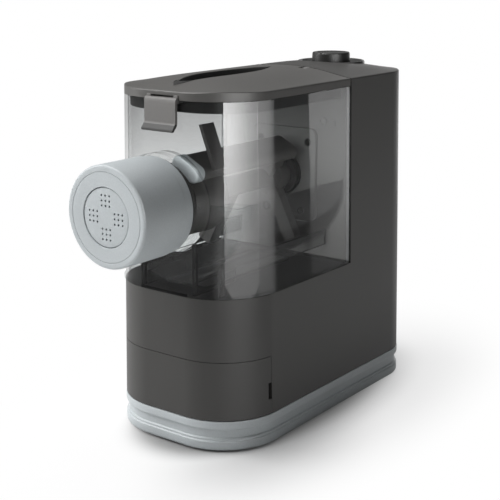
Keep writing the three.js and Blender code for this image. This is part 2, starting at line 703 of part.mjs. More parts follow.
function drawerTray() {
  const { half, front, rear, top } = TRAY;
  const outside = toSolid(raise(roundedRectangle(-half, half, front, rear, 10), DRAWER_LOW, top, 3));
  const inside = toSolid(raise(roundedRectangle(2 - half, half - 2, front + 2, rear - 2, 8), 27.1, 70, 3));
  const divider = box(1 - half, half - 1, -48.8, -47.2, 27, 40);
  return join(cut(outside, inside), divider);
}

function drawerBay() {
  const [half, front] = [BAY.half + 1.8, DRAWER_SPLIT + 0.4];
  const outside = box(-half, half, front, BAY.rear, 22.8, BAY.top);
  const inside = box(-BAY.half, BAY.half, front - 5, BAY.rear - 1.8, 24.8, BAY.top - 1.8);
  const legs = [front + 2, 8].flatMap((y) => bothSides((side) =>
    box(side * 50 - 2, side * 50 + 2, y, y + 4, 9.2, 23)));
  return join(cut(outside, inside), ...legs);
}

function spareDisc(x, y, z) {
  const disc = turnUpright([
    [0, z], [DISC_RADIUS, z], [DISC_RADIUS, z + 4.1], [20.9, z + 4.1], [20.9, z + 8], [0, z + 8]], x, y, 16);
  const slots = [-1, 0, 1].map((i) => box(x - 10, x + 10, y + 8 * i - 1, y + 8 * i + 1, z - 1, z + 9));
  return cut(disc, ...slots);
}

function cleaningTool() {
  const handle = toSolid(raise(roundedRectangle(22, 34, -38, 10, 5), 27.4, 31.4, 2));
  const teeth = [-1, 0, 1].map((i) => box(27.4 + 3.65 * i, 28.6 + 3.65 * i, -45, -34, 28.4, 30.4));
  return join(handle, ...teeth);
}

// Lid: domed shell with the water slot, dark skirt, water channel, hinge pins

function lens(growth) {
  const [width, length] = [SLOT.halfWidth + growth, SLOT.halfLength + growth];
  const count = 10;
  const right = Array.from({ length: count + 1 }, (_, i) => {
    const share = Math.sin(Math.PI * (i / count - 0.5));
    return [width * (1 - Math.abs(share) ** 2.4), SLOT.middle + length * share];
  });
  const left = right.slice(1, -1).reverse().map(([x, y]) => [-x, y]);
  return polygon([...right, ...left]);
}

function lidShell() {
  const ahead = slab(-200, LID_REAR, 0, 300);
  const inside = leaning(-SKIN, LID_LOW - 1, 290).intersect(DOME_INSIDE)
    .intersect(slab(-200, LID_REAR - 2.4, 0, 300));
  const shell = cut(leaning(0, LID_LOW, 290).intersect(DOME), inside).intersect(ahead);
  const collar = toSolid(raise(lens(2.2), 264.5, 290)).intersect(underDome(1));
  const solid = join(shell, collar, ...hingeEars(), ...latchCheeks());
  return cut(
    solid, toSolid(raise(lens(0), 255, 300)), slab(24.5, 40, 250, 261.2), ...hingeRooms(),
    box(-15.1, 15.1, -123, -112, 255, 263.2),
    toSolid(across(circle(LATCH_PIN.y, LATCH_PIN.z, 1.35, 10), -17.8, 17.8)));
}

function hingeEars() {
  const side = polygon([
    [LID_REAR - 1, 263], [LID_REAR - 1, 271], [HINGE.y - 4, 271.5], [HINGE.y - 4, 266]]);
  return [-5.2, 5.2].flatMap((away) => bothSides((half) => {
    const x = half * HINGE.x + away;
    return toSolid(across(side, x - 1.3, x + 1.3)).intersect(underDome(1));
  }));
}

function hingeRooms() {
  return bothSides((side) => {
    const x = side * HINGE.x;
    const room = box(x - 3.6, x + 3.6, HINGE.y - 3, LID_REAR + 3, 250, 300);
    return join(room, toSolid(across(circle(HINGE.y, HINGE.z, 1.35, 10), x - 6.8, x + 6.8)));
  });
}

function latchCheeks() {
  return bothSides((side) => box(side * 16.4 - 1.2, side * 16.4 + 1.2, -119, -113, 260.2, 268)
    .intersect(leaning(-1, 255, 290)).intersect(underDome(1)));
}

function lidSkirt() {
  const ahead = slab(-200, 21, 0, 300);
  const ring = cut(leaning(-4.6, 251.6, 264), leaning(-6.8, 250, 265));
  const flange = cut(leaning(-2.9, 260.6, 262.4), leaning(-9, 250, 270));
  return cut(join(ring, flange).intersect(ahead), box(-18, 18, -130, -108, 256.8, 270));
}

function waterChannel() {
  const pan = cut(toSolid(raise(lens(4.6), 258.4, 264.2)), toSolid(raise(lens(2.8), 260, 270)));
  const drips = [-2, -1, 0, 1, 2].map((i) =>
    toSolid(raise(circle(0, SLOT.middle + 16 * i, 2.4, 8), 250, 270)));
  const bridges = [-72, -26].flatMap((y) => bothSides((side) =>
    box(Math.min(side * 14, side * 56.2), Math.max(side * 14, side * 56.2), y - 3, y + 3, 262.7, 264.2)));
  return join(cut(pan, ...drips), ...bridges);
}

function hingePin(x) {
  return toSolid(across(circle(HINGE.y, HINGE.z, 1.1, 10), x - 6.4, x + 6.4));
}

// Latch: arms on moulded pins inside the lid, a plate in front and a flared finger lip

function latch() {
  const side = new THREE.Shape();
  side.moveTo(-121.5, 257.6);
  side.lineTo(-121.7, 242.5);
  side.quadraticCurveTo(-122.2, 239.8, -124.6, 237.6);
  side.lineTo(-128.2, 236.6);
  side.quadraticCurveTo(-129.4, 237.2, -128.8, 238.6);
  side.quadraticCurveTo(-126.2, 241.8, -125.4, 245.2);
  side.lineTo(-124.8, 258.4);
  side.quadraticCurveTo(-124.2, 261.4, -121.4, 261.6);
  side.lineTo(LATCH_PIN.y - 2.1, 261.6);
  side.absarc(LATCH_PIN.y, LATCH_PIN.z, 2.1, Math.PI, 0, true);
  side.lineTo(LATCH_PIN.y + 2.1, 257.8);
  side.closePath();
  const lever = toSolid(across(side, -LATCH_HALF, LATCH_HALF));
  const between = box(4 - LATCH_HALF, LATCH_HALF - 4, -121.2, -110, 250, 270);
  const pins = toSolid(across(circle(LATCH_PIN.y, LATCH_PIN.z, 1.1, 10), -17.4, 17.4));
  return join(cut(lever, between), pins);
}

add('base_ring', baseRing(), PALE);
add('base_plate', basePlate(), DARK);
FOOT_PLACES.forEach(([x, y], i) => add(`foot_${i + 1}`, foot(x, y), RUBBER));
BASE_SCREW_PLACES.forEach(([x, y], i) => add(`base_screw_${i + 1}`, baseScrew(x, y), STEEL));
add('housing', housing(), GREY);
add('tower_wall', towerWall(), GREY);
add('coupling_plate', couplingPlate(), GREY);
PLATE_SCREWS.forEach(([x, z], i) => add(`plate_screw_${i + 1}`, plateScrew(x, z), DARK));
add('mixing_chamber', mixingChamber(), CLEAR);
add('mixing_trough', mixingTrough(), CLEAR);
add('extruder_barrel', extruderBarrel(), MID);
add('barrel_seal', barrelSeal(), RUBBER);
add('shaping_disc', shapingDisc(), PALE);
add('disc_seal', discSeal(), RUBBER);
add('front_nut', frontNut(), PALE);
add('auger_screw', augerScrew(), MID);
add('mixing_paddle', mixingPaddle(), MID);
add('paddle_scraper', paddleScraper(), PALE);
add('hub_seal', hubSeal(), RUBBER);
add('drive_coupling', driveCoupling(), STEEL);
add('output_gear', outputGear(), NYLON);
add('idler_gear', idlerGear(), NYLON);
add('idler_axle', idlerAxle(), STEEL);
add('motor_pinion', motorPinion(), STEEL);
add('motor_can', motorCan(), STEEL);
add('motor_rotor', motorRotor(), STEEL);
add('cooling_fan', coolingFan(), DARK);
add('gearbox_front', gearboxFront(), MID);
add('gearbox_rear', gearboxRear(), MID);
add('front_bearing', bearing(37.7), STEEL);
add('rear_bearing', bearing(66.7), STEEL);
add('dial_bezel', dialBezel(), DARK);
add('dial_knob', dialKnob(), DARK);
add('dial_shaft', dialShaft(), STEEL);
add('selector_switch', selectorSwitch(), DARK);
add('control_board', controlBoard(), BOARD);
add('power_inlet', powerInlet(), DARK);
add('inlet_pin_left', inletPin(-4), STEEL);
add('inlet_pin_right', inletPin(4), STEEL);
add('drawer_front', drawerFront(), GREY);
add('drawer_tray', drawerTray(), GREY);
add('drawer_bay', drawerBay(), DARK);
add('spare_disc_1', spareDisc(-18, -18, 27.4), PALE);
add('spare_disc_2', spareDisc(16, -78.5, 27.4), PALE);
add('cleaning_tool', cleaningTool(), PALE);
add('lid_shell', lidShell(), GREY);
add('lid_skirt', lidSkirt(), DARK);
add('water_channel', waterChannel(), DARK);
add('hinge_pin_left', hingePin(-HINGE.x), STEEL);
add('hinge_pin_right', hingePin(HINGE.x), STEEL);
add('latch', latch(), MID);

export default machine;
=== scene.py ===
import math

import bmesh
import bpy
from bpy.props import FloatProperty, FloatVectorProperty, IntProperty, PointerProperty
from mathutils import Euler, Matrix, Vector


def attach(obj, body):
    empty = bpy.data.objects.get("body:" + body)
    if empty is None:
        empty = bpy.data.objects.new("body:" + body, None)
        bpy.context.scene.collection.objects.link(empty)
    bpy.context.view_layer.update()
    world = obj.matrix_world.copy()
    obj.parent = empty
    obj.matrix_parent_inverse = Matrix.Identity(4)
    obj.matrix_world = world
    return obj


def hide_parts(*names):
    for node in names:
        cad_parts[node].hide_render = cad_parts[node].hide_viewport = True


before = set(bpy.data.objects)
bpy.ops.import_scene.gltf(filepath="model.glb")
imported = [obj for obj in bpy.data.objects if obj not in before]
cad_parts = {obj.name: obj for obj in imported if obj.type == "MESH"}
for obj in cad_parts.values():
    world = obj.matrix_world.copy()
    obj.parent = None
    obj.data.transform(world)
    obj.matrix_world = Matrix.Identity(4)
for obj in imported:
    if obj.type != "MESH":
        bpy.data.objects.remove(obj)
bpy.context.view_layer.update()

bl_info = {
    "name": "Electric pasta maker",
    "version": (1, 0, 0),
    "blender": (4, 5, 0),
    "location": "3D view > Sidebar > Pasta maker",
    "description": "Dresses the packed pasta maker with its visible pieces, finishes and studio",
    "category": "Object",
}

# Shapes are drawn in millimetres, from a point that lies SHIFT behind the frame's own origin
SHIFT = 24.05
MM = 0.001

# The body's outline seen from above
HALF_WIDTH, FRONT, REAR = 67.5, -125.0, 133.3
FRONT_RADIUS, REAR_RADIUS = 48.8, 37.0
MIDDLE, HALF_LENGTH = (FRONT + REAR) / 2, (REAR - FRONT) / 2

# Its heights, and the shares by which it narrows between the base ring and the lid
RING_TOP, DRAWER_LOW, DRAWER_FLOOR, DRAWER_TOP, DECK = 24.6, 25.1, 27.1, 70.0, 118.1
LID_LOW, LID_EDGE, CROWN = 260.1, 266.1, 7.4
LEAN_WIDTH, LEAN_LENGTH = 0.0622, 0.0325

# Where the tower begins, the drawer's front and the clear wall end, and the trough's rear wall begins
TOWER, DRAWER_SPLIT, WALL_END, TROUGH_REAR = 29.5, -80.0, 26.5, 24.1

# The height of the axis that nut, disc, barrel, trough, paddle and coupling share, and their sizes
AXIS = 185.1
NUT_FACE, NUT_LENGTH, NUT_RADIUS, FACE_OPENING = -181.7, 50.9, 36.6, 21.4
BARREL_RADIUS, BARREL_BORE, DISC_RADIUS, TROUGH_RADIUS = 30.8, 27.0, 28.6, 60.2

# The dial in the tower's roof and the dish round it
DIAL_Y, DIAL_RADIUS, DIAL_TOP, BEZEL_RADIUS = 97.0, 16.3, 279.3, 28.6

# Facets round the large pieces that are seen from near
SMOOTH = 96

# The lid's pouring slot, its hinge pins and the latch's pin
SLOT_Y, SLOT_WIDTH, SLOT_LENGTH = -49, 13, 58
HINGE_X, HINGE_Y, HINGE_Z = 22, 24, 269.8
LATCH_Y, LATCH_Z = -115.6, 262.2

# Places that several pieces share: x and y under the base, x and z on the tower's front and rear
FEET = ((-40, -82), (40, -82), (-42, 100), (42, 100))
BASE_SCREWS = ((-52, 36), (52, 36), (-52, 76), (52, 76))
PLATE, PLATE_ROUND = (-31, 31, 147, 223.5), 6
PLATE_SCREWS = ((-23.7, 212.5), (23.7, 212.5), (-17.4, 155), (17.4, 155))
INLET_Z, INLET_PINS = 46, {"left": -4, "right": 4}

# Camera that fits the photo, with its angles in degrees
LENS, LENS_SHIFT = 80.19, (0.0052, -0.0005)
CAMERA_PLACE = (0.52588, -0.68893, 0.35495)
CAMERA_TILT, CAMERA_HEADING, CAMERA_ROLL = 75.438, 37.267, -0.152


def count_property(name, description, default, low):
    return IntProperty(name=name, description=description, default=default, min=low)


def size_property(name, description, default, low):
    return FloatProperty(name=name, description=description, default=default, min=low)


def colour_property(name, description, default):
    return FloatVectorProperty(
        name=name, description=description, default=default, subtype="COLOR", size=3, min=0, max=1)


class Sizes(bpy.types.PropertyGroup):
    """Sizes a maker may change, in millimetres."""

    corner_steps: count_property("Corner steps", "Facets in each corner of the body", 20, 4)
    turned_steps: count_property("Turned steps", "Facets round each turned piece", 72, 12)
    shell: size_property("Shell", "Thickness of the moulded shells", 2.6, 1)
    clear_wall: size_property("Clear wall", "Thickness of the clear chamber", 2.5, 1)
    lid_round: size_property("Lid rounding", "Radius along the lid's edge", 1.1, 0.1)
    edge_round: size_property("Edge rounding", "Radius of the small moulded ribs' edges", 0.3, 0.05)
    hole_radius: size_property("Disc hole radius", "Radius of the pasta holes", 0.85, 0.3)
    hole_pitch: size_property("Disc hole pitch", "Distance between pasta holes", 3.65, 2)
    vent_width: size_property("Vent width", "Width of each rear vent", 2.2, 1)
    grain: size_property("Grain", "Depth of the moulded grain", 0.02, 0)


class Colours(bpy.types.PropertyGroup):
    """Colours of the finishes, as linear values."""

    body: colour_property("Body", "Warm dark grey of the housing, lid and drawer", (0.044, 0.0425, 0.040))
    pale: colour_property("Pale", "Blue-grey of the base ring, nut and disc", (0.49, 0.525, 0.54))
    middle: colour_property("Middle", "Mid grey of the latch, barrel and paddle", (0.155, 0.150, 0.145))
    # The wall behind the chamber is the body's plastic; this lighter grey is painted light, making up for light that
    # the clear walls take.
    inner: colour_property("Inner", "Grey of the wall behind the chamber", (0.19, 0.187, 0.183))
    dark: colour_property("Dark", "Near black of the dial and the inner plastics", (0.026, 0.026, 0.025))
    clear: colour_property("Clear", "Tint of the clear chamber", (0.915, 0.92, 0.92))
    rubber: colour_property("Rubber", "Feet and seals", (0.018, 0.018, 0.018))
    steel: colour_property("Steel", "Shafts, screws and the motor", (0.55, 0.555, 0.57))
    nylon: colour_property("Nylon", "Gear wheels", (0.72, 0.68, 0.58))
    board: colour_property("Board", "Circuit board", (0.02, 0.11, 0.045))


def sizes():
    return bpy.context.scene.pasta_sizes


def colours():
    return bpy.context.scene.pasta_colours


def placed(name, data):
    """A new object in the scene."""
    thing = bpy.data.objects.new(name, data)
    bpy.context.scene.collection.objects.link(thing)
    return thing


def discard(thing):
    mesh = thing.data
    bpy.data.objects.remove(thing)
    bpy.data.meshes.remove(mesh)


# Shapes


class Shape:
    """A mesh drawn in millimetres, with the moves that the pieces are made with."""

    def __init__(self, mesh=None):
        self.bm = bmesh.new()
        if mesh is not None:
            self.bm.from_mesh(mesh)

    def everything(self):
        return [*self.bm.verts, *self.bm.edges, *self.bm.faces]

    def mesh(self, name="shape"):
        mesh = bpy.data.meshes.new(name)
        self.bm.to_mesh(mesh)
        return mesh

    def join(self, *others):
        for other in others:
            mesh = other.mesh()
            self.bm.from_mesh(mesh)
            bpy.data.meshes.remove(mesh)
        return self

    def path(self, places, closed=False):
        """Adds points with edges from one to the next."""
        verts = [self.bm.verts.new(place) for place in places]
        pairs = list(zip(verts, verts[1:])) + ([(verts[-1], verts[0])] if closed else [])
        return verts, [self.bm.edges.new(pair) for pair in pairs]

    def move(self, x=0, y=0, z=0):
        bmesh.ops.translate(self.bm, vec=(x, y, z), verts=self.bm.verts)
        return self

    def scale(self, x=1, y=1, z=1):
        bmesh.ops.scale(self.bm, vec=(x, y, z), verts=self.bm.verts)
        return self

    def turn(self, angle, axis="Y", centre=(0, 0, 0)):
        bmesh.ops.rotate(self.bm, cent=centre, matrix=Matrix.Rotation(angle, 3, axis), verts=self.bm.verts)
        return self

    def clean(self):
        bmesh.ops.remove_doubles(self.bm, verts=self.bm.verts, dist=0.002)
        bmesh.ops.recalc_face_normals(self.bm, faces=self.bm.faces)
        return self

    def face_out(self, direction=(1, 0, 0)):
        """Points the faces outwards, judged by the one that lies furthest in a direction."""
        bmesh.ops.recalc_face_normals(self.bm, faces=self.bm.faces)
        direction = Vector(direction)
        furthest = max(self.bm.faces, key=lambda f: f.calc_center_median().dot(direction))
        if furthest.normal.dot(direction) < 0:
            bmesh.ops.reverse_faces(self.bm, faces=self.bm.faces)
        return self

    def lean(self):
        """Narrows the shape upwards, as the body does."""
        for v in self.bm.verts:
            share = lean_share(v.co.z)
            v.co.x *= 1 - LEAN_WIDTH * share
            v.co.y = MIDDLE + (v.co.y - MIDDLE) * (1 - LEAN_LENGTH * share)
        return self

    def bevel(self, parts, width, segments, affect="EDGES", clamp=True):
        bmesh.ops.bevel(
            self.bm, geom=parts, offset=width, offset_type="OFFSET", segments=segments, profile=0.5,
            affect=affect, clamp_overlap=clamp, material=-1)
        return self

    def soften(self, width, segments=2, angle=40, chosen=lambda edge: True):
        """Rounds the chosen edges that fold by more than an angle in degrees."""
        edges = [e for e in self.bm.edges if e.calc_face_angle(0) > math.radians(angle) and chosen(e)]
        return self.bevel(edges, width, segments)

    def slice(self, axis, value, trim=False, above=None):
        """Cuts along a plane, and drops what lies past it where trim says so. above keeps the cut to the faces over
        a height."""
        normal = Vector((axis == "x", axis == "y", axis == "z"))
        parts = self.everything()
        if above is not None:
            faces = [f for f in self.bm.faces if f.calc_center_median().z > above]
            parts = list({part for f in faces for part in (f, *f.edges, *f.verts)})
        bmesh.ops.bisect_plane(
            self.bm, geom=parts, dist=1e-5, plane_co=normal * value, plane_no=normal, clear_outer=trim)
        return self

    def drop(self, test):
        faces = [f for f in self.bm.faces if test(f.calc_center_median())]
        bmesh.ops.delete(self.bm, geom=faces, context="FACES")
        return self

    def carry(self, made, x=0, y=0, z=0):
        """Moves the points that an extrusion has made."""
        moved = [part for part in made["geom"] if isinstance(part, bmesh.types.BMVert)]
        bmesh.ops.translate(self.bm, vec=(x, y, z), verts=moved)
        return self

    def raised(self, x=0, y=0, z=0):
        """Carries the one face on as a solid."""
        return self.carry(bmesh.ops.extrude_face_region(self.bm, geom=self.bm.faces[:]), x, y, z).clean()

    def through(self, kind, **settings):
        """The shape after one modifier."""
        thing = placed("working", self.mesh())
        modifier = thing.modifiers.new("working", kind)
        for name, value in settings.items():
            setattr(modifier, name, value)
        seen = thing.evaluated_get(bpy.context.evaluated_depsgraph_get())
        mesh = bpy.data.meshes.new_from_object(seen)
        result = Shape(mesh)
        discard(thing)
        bpy.data.meshes.remove(mesh)
        return result

    def combined(self, operation, *others):
        result = self
        for other in others:
            tool = placed("tool", other.mesh())
            result = result.through("BOOLEAN", operation=operation, solver="EXACT", object=tool)
            discard(tool)
        return result

    def cut(self, *others):
        return self.combined("DIFFERENCE", *others)

    def union(self, *others):
        return self.combined("UNION", *others)

    def thicken(self, depth, even=True):
        return self.through("SOLIDIFY", thickness=depth, offset=-1, use_even_offset=even)

    def marked(self, test, index=1):
        """Gives the faces that pass the test another of the piece's finishes."""
        for face in self.bm.faces:
            if test(face):
                face.material_index = index
        return self

    def piece(self, name, body, finish, *nodes, angle=38, more=()):
        """Moves the shape into the frame and makes it a piece that stands for these CAD nodes."""
        self.move(y=SHIFT).scale(MM, MM, MM)
        mesh = self.mesh(name)
        mesh.shade_smooth()
        mesh.set_sharp_from_angle(angle=math.radians(angle))
        for key in (finish, *more):
            mesh.materials.append(FINISHES[key].material)
        thing = placed(name, mesh)
        normals = thing.modifiers.new("normals", "WEIGHTED_NORMAL")
        normals.keep_sharp = True
        normals.weight = 80
        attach(thing, body)
        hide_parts(*nodes)


def together(*shapes):
    return Shape().join(*shapes)


def rectangle(x0, x1, y0, y1, z=0, radius=0, rear_radius=None, steps=6):
    """One flat face with rounded corners, which may be rounder at the rear."""
    shape = Shape()
    middle = (y0 + y1) / 2
    bmesh.ops.create_grid(shape.bm, x_segments=1, y_segments=1, size=0.5)
    shape.scale(x1 - x0, y1 - y0).move((x0 + x1) / 2, middle, z)
    front = [v for v in shape.bm.verts if v.co.y < middle]
    rear = [v for v in shape.bm.verts if v.co.y > middle]
    for corners, size in ((front, radius), (rear, radius if rear_radius is None else rear_radius)):
        if size > 0:
            shape.bevel(corners, size, steps, "VERTICES", False)
    return shape


def plan(offset=0, z=0):
    """The body's outline as one face, set in or out by an offset."""
    return rectangle(
        -HALF_WIDTH - offset, HALF_WIDTH + offset, FRONT - offset, REAR + offset, z,
        FRONT_RADIUS + offset, REAR_RADIUS + offset, sizes().corner_steps)


def block(x0, x1, y0, y1, z0, z1, radius=0, soft=0, steps=6):
    """A rounded rectangle in x and y, carried along Z."""
    shape = rectangle(x0, x1, y0, y1, z0, radius, steps=steps).raised(z=z1 - z0)
    return shape.soften(soft) if soft else shape


def ridge(*box):
    """A small moulded rib or wall."""
    return block(*box, soft=sizes().edge_round)


def standing(x0, x1, z0, z1, y0, y1, radius=0, soft=0, steps=8):
    """A rounded rectangle in x and z, carried along Y."""
    shape = rectangle(x0, x1, z0, z1, 0, radius, steps=steps)
    shape.turn(math.pi / 2, "X").move(y=y0).raised(y=y1 - y0)
    return shape.soften(soft) if soft else shape


def abreast(make, centres, half, *box, **settings):
    """Like shapes side by side along X."""
    return together(*[make(x - half, x + half, *box, **settings) for x in centres])


def profile_face(points):
    """One flat face through the points."""
    shape = Shape()
    bmesh.ops.contextual_create(shape.bm, geom=[shape.bm.verts.new(point) for point in points])
    return shape


def spun(places, axis, centre, steps):
    """Points spun a full turn. Where the last is the first, they close."""
    shape = Shape()
    closed = places[0] == places[-1]
    verts, edges = shape.path(places[:len(places) - closed], closed)
    bmesh.ops.spin(
        shape.bm, geom=verts + edges, cent=centre, axis=axis, angle=2 * math.pi,
        steps=steps or sizes().turned_steps, use_merge=True, use_duplicate=False)
    return shape.clean()


def turned(profile, x=0, y=0, z=AXIS, steps=None):
    """A profile of radius and distance spun round an axis along Y."""
    return spun([(x + radius, y + along, z) for radius, along in profile], (0, 1, 0), (x, 0, z), steps)


def upright(profile, x=0, y=0, z=0, steps=None):
    """A profile of radius and height spun round an axis along Z."""
    return spun([(x + radius, y, z + height) for radius, height in profile], (0, 0, 1), (x, y, 0), steps)


def tube(inner, outer, low, high):
    return [(inner, low), (outer, low), (outer, high), (inner, high), (inner, low)]


def rod(radius, low, high):
    return [(0, low), (radius, low), (radius, high), (0, high)]


def bore(radius, y0, y1, x=0, z=AXIS, steps=None):
    """A round bar along Y, in most places the tool for a hole."""
    return turned(rod(radius, y0, y1), x, z=z, steps=steps)


def post(radius, low, high, x=0, y=0, steps=24):
    """A round bar along Z."""
    return upright(rod(radius, low, high), x, y, steps=steps)


def crossbar(radius, reach, x, y, z):
    """A round bar along X."""
    return post(radius, -reach, reach).turn(math.pi / 2).move(x, y, z)


def cross(make, x, y, reach, low, high, half=0.35):
    """The recess in a screw's head, with arms of block or standing."""
    arms = [make(x - a, x + a, y - b, y + b, low, high) for a, b in ((reach, half), (half, reach))]
    return arms[0].union(arms[1])


def stack(rows, outline=plan, ends="open"):
    """Outlines set at (offset, height) rows and bridged. The ends stay open, are capped, or meet as a ring."""
    shape = Shape()
    loops = []
    for offset, z in rows:
        old = set(shape.bm.edges)
        shape.join(outline(offset, z))
        loops.append([e for e in shape.bm.edges if e not in old])
    bmesh.ops.delete(shape.bm, geom=shape.bm.faces[:], context="FACES_ONLY")
    for low, high in zip(loops, loops[1:]):
        bmesh.ops.bridge_loops(shape.bm, edges=low + high)
    if ends == "ring":
        bmesh.ops.bridge_loops(shape.bm, edges=loops[-1] + loops[0])
    if ends == "capped":
        for loop in (loops[0], loops[-1]):
            bmesh.ops.contextual_create(shape.bm, geom=loop)
    return shape.face_out()


def lean_share(z):
    return (z - RING_TOP) / (LID_LOW - RING_TOP)


def narrowed(width, z):
    return width * (1 - LEAN_WIDTH * lean_share(z))


def dome_height(x, y):
    """The lid's and roof's height, with the outline's narrowing taken a little over the lid's lower edge."""
    wide = abs(x) / narrowed(HALF_WIDTH, LID_LOW + 4)
    long = abs(y - MIDDLE) / (HALF_LENGTH * (1 - LEAN_LENGTH * lean_share(LID_LOW + 4)))
    corner = wide ** 4 + long ** 6
    return LID_EDGE + CROWN * max(-0.4, (1 - wide ** 2.1) * (1 - long ** 8) * (1 - 0.55 * corner))


def raise_to_dome(shape, low=-math.inf):
    """Lifts what lies above a height by the dome's rise over it."""
    for v in shape.bm.verts:
        if v.co.z > low:
            v.co.z += dome_height(v.co.x, v.co.y) - LID_EDGE
    return shape


def domed(rows):
    """Walls, rounded rim and domed top as one open sheet."""
    radius = sizes().lid_round
    turns = [step * math.pi / 8 for step in range(5)]
    rim = [(radius * (math.cos(turn) - 1), LID_EDGE - radius + radius * math.sin(turn)) for turn in turns]
    shape = stack([*rows, *rim]).lean()
    bmesh.ops.contextual_create(shape.bm, geom=wall_edges(shape, LID_EDGE))
    shape.face_out()
    for axis, reach in (("x", 60), ("y", 126)):
        for value in range(-reach, reach + 1, 6):
            shape.slice(axis, value, above=LID_EDGE - 0.01)
    return raise_to_dome(shape, LID_EDGE - radius - 0.01)


def wall_edges(shape, height, test=lambda p: True):
    """Boundary edges that lie at a height and pass a test of their middle."""
    found = []
    for edge in shape.bm.edges:
        middle = (edge.verts[0].co + edge.verts[1].co) / 2
        if edge.is_boundary and abs(middle.z - height) < 0.02 and test(middle):
            found.append(edge)
    return found


def lens(growth, z):
    """The pouring slot's outline as one face."""
    shape = Shape()
    for v in bmesh.ops.create_circle(shape.bm, cap_ends=True, segments=SMOOTH, radius=1)["verts"]:
        share = v.co.y
        side = math.copysign(1, v.co.x) if abs(v.co.x) > 1e-6 else 0
        v.co = (side * (SLOT_WIDTH + growth) * (1 - abs(share) ** 2.4), SLOT_Y + (SLOT_LENGTH + growth) * share, z)
    return shape


# Finishes


def arithmetic(operation, reflected=False):
    """An operator of Value that adds one Math node."""
    def work(self, other):
        first, second = (other, self) if reflected else (self, other)
        return self.finish.value("ShaderNodeMath", {"operation": operation}, {0: first, 1: second})
    return work


class Value:
    """A shader number that Python's operators work on."""

    def __init__(self, finish, socket):
        self.finish = finish
        self.socket = socket

    __add__, __radd__ = arithmetic("ADD"), arithmetic("ADD", True)
    __sub__, __rsub__ = arithmetic("SUBTRACT"), arithmetic("SUBTRACT", True)
    __mul__, __rmul__ = arithmetic("MULTIPLY"), arithmetic("MULTIPLY", True)
    __pow__ = arithmetic("POWER")

    def between(self, low, high):
        """0 below the first number and 1 above the second, with a smooth rise."""
        return self.finish.value(
            "ShaderNodeMapRange", {"interpolation_type": "SMOOTHSTEP"}, {0: self, 1: low, 2: high})


class Finish:
    """One material, built from nodes."""

    def __init__(self, name, slot):
        self.slot = slot
        self.material = bpy.data.materials.new(name)
        self.material.use_nodes = True
        self.tree = self.material.node_tree
        self.shader = self.tree.nodes["Principled BSDF"]
        self.output = self.tree.nodes["Material Output"]

    def node(self, kind, settings=None, inputs=None):
        made = self.tree.nodes.new(kind)
        for name, value in (settings or {}).items():
            setattr(made, name, value)
        self.feed(made, inputs or {})
        return made

    def feed(self, node, inputs):
        for name, value in inputs.items():
            if isinstance(value, Value):
                value = value.socket
            if isinstance(value, bpy.types.NodeSocket):
                self.tree.links.new(value, node.inputs[name])
            else:
                node.inputs[name].default_value = value

    def value(self, kind, settings=None, inputs=None, output=0):
        return Value(self, self.node(kind, settings, inputs).outputs[output])

    def place(self, x=1, y=1, z=1):
        """The spot on the piece, in metres, with each axis stretched."""
        spot = self.node("ShaderNodeTexCoord").outputs["Object"]
        return self.node("ShaderNodeMapping", inputs={"Vector": spot, "Scale": (x, y, z)}).outputs[0]

    def parts(self, vector):
        """A vector's x, y and z."""
        made = self.node("ShaderNodeSeparateXYZ", inputs={0: vector})
        return [Value(self, made.outputs[axis]) for axis in range(3)]

    def rays(self, *kinds):
        """1 for light that travels on each of these kinds of ray, else 0."""
        path = self.node("ShaderNodeLightPath")
        return [Value(self, path.outputs[f"Is {kind} Ray"]) for kind in kinds]

    def noise(self, scale, detail=2, spot=None):
        inputs = {"Vector": spot or self.place(), "Scale": scale, "Detail": detail}
        return self.value("ShaderNodeTexNoise", inputs=inputs, output="Fac")

    def mix(self, factor, first, second):
        return self.node("ShaderNodeMix", {"data_type": "RGBA"}, {0: factor, 6: first, 7: second}).outputs[2]

    def bump(self, height, strength, distance):
        inputs = {"Height": height, "Strength": strength, "Distance": distance}
        return self.node("ShaderNodeBump", inputs=inputs).outputs[0]

    def layer(self, kind, colour=(1, 1, 1), **inputs):
        """A shader of one colour, to be blended with others."""
        return self.node("ShaderNode" + kind, inputs={"Color": shade(colour), **inputs})

    def blend(self, share, below, above):
        """Two shaders in one. The share of the second may vary over the surface."""
        return self.node("ShaderNodeMixShader", inputs={0: share, 1: below.outputs[0], 2: above.outputs[0]})

    def surface(self, shader):
        self.tree.links.new(shader.outputs[0], self.output.inputs["Surface"])

    def set(self, **inputs):
        self.feed(self.shader, {name.replace("_", " "): value for name, value in inputs.items()})
        return self


def shade(colour, factor=1):
    """A colour made darker or lighter, with the fourth number that sockets take."""
    return (*[min(1, c * factor) for c in colour[:3]], 1)


def moulded(name, slot, colour, roughness, grain=1.0, specular=0.4):
    """Injection-moulded plastic: fine spark grain, faint clouding and handling marks."""
    finish = Finish(name, slot)
    cloud = finish.noise(14, 3)
    grains = finish.noise(2600, 3)
    specks = finish.noise(900, 2)
    tone = (cloud * 0.6 + specks * 0.4).between(0.3, 0.7)
    return finish.set(
        Base_Color=finish.mix(tone, shade(colour, 0.93), shade(colour, 1.07)),
        Roughness=roughness + (cloud - 0.5) * 0.12 + (specks - 0.5) * 0.1,
        Specular_IOR_Level=specular,
        Normal=finish.bump(grains * 0.7 + specks * 0.3, 0.35 * grain, sizes().grain * MM))


def rubbery(name, slot, colour):
    """Matt rubber with a little dust in its pores."""
    finish = Finish(name, slot)
    dust = finish.noise(60, 4).between(0.45, 0.8)
    grains = finish.noise(3200, 2)
    return finish.set(
        Base_Color=finish.mix(dust, shade(colour, 0.9), shade(colour, 2.2)),
        Roughness=0.78 + (grains - 0.5) * 0.2,
        Specular_IOR_Level=0.3,
        Normal=finish.bump(grains, 0.5, 0.04 * MM))


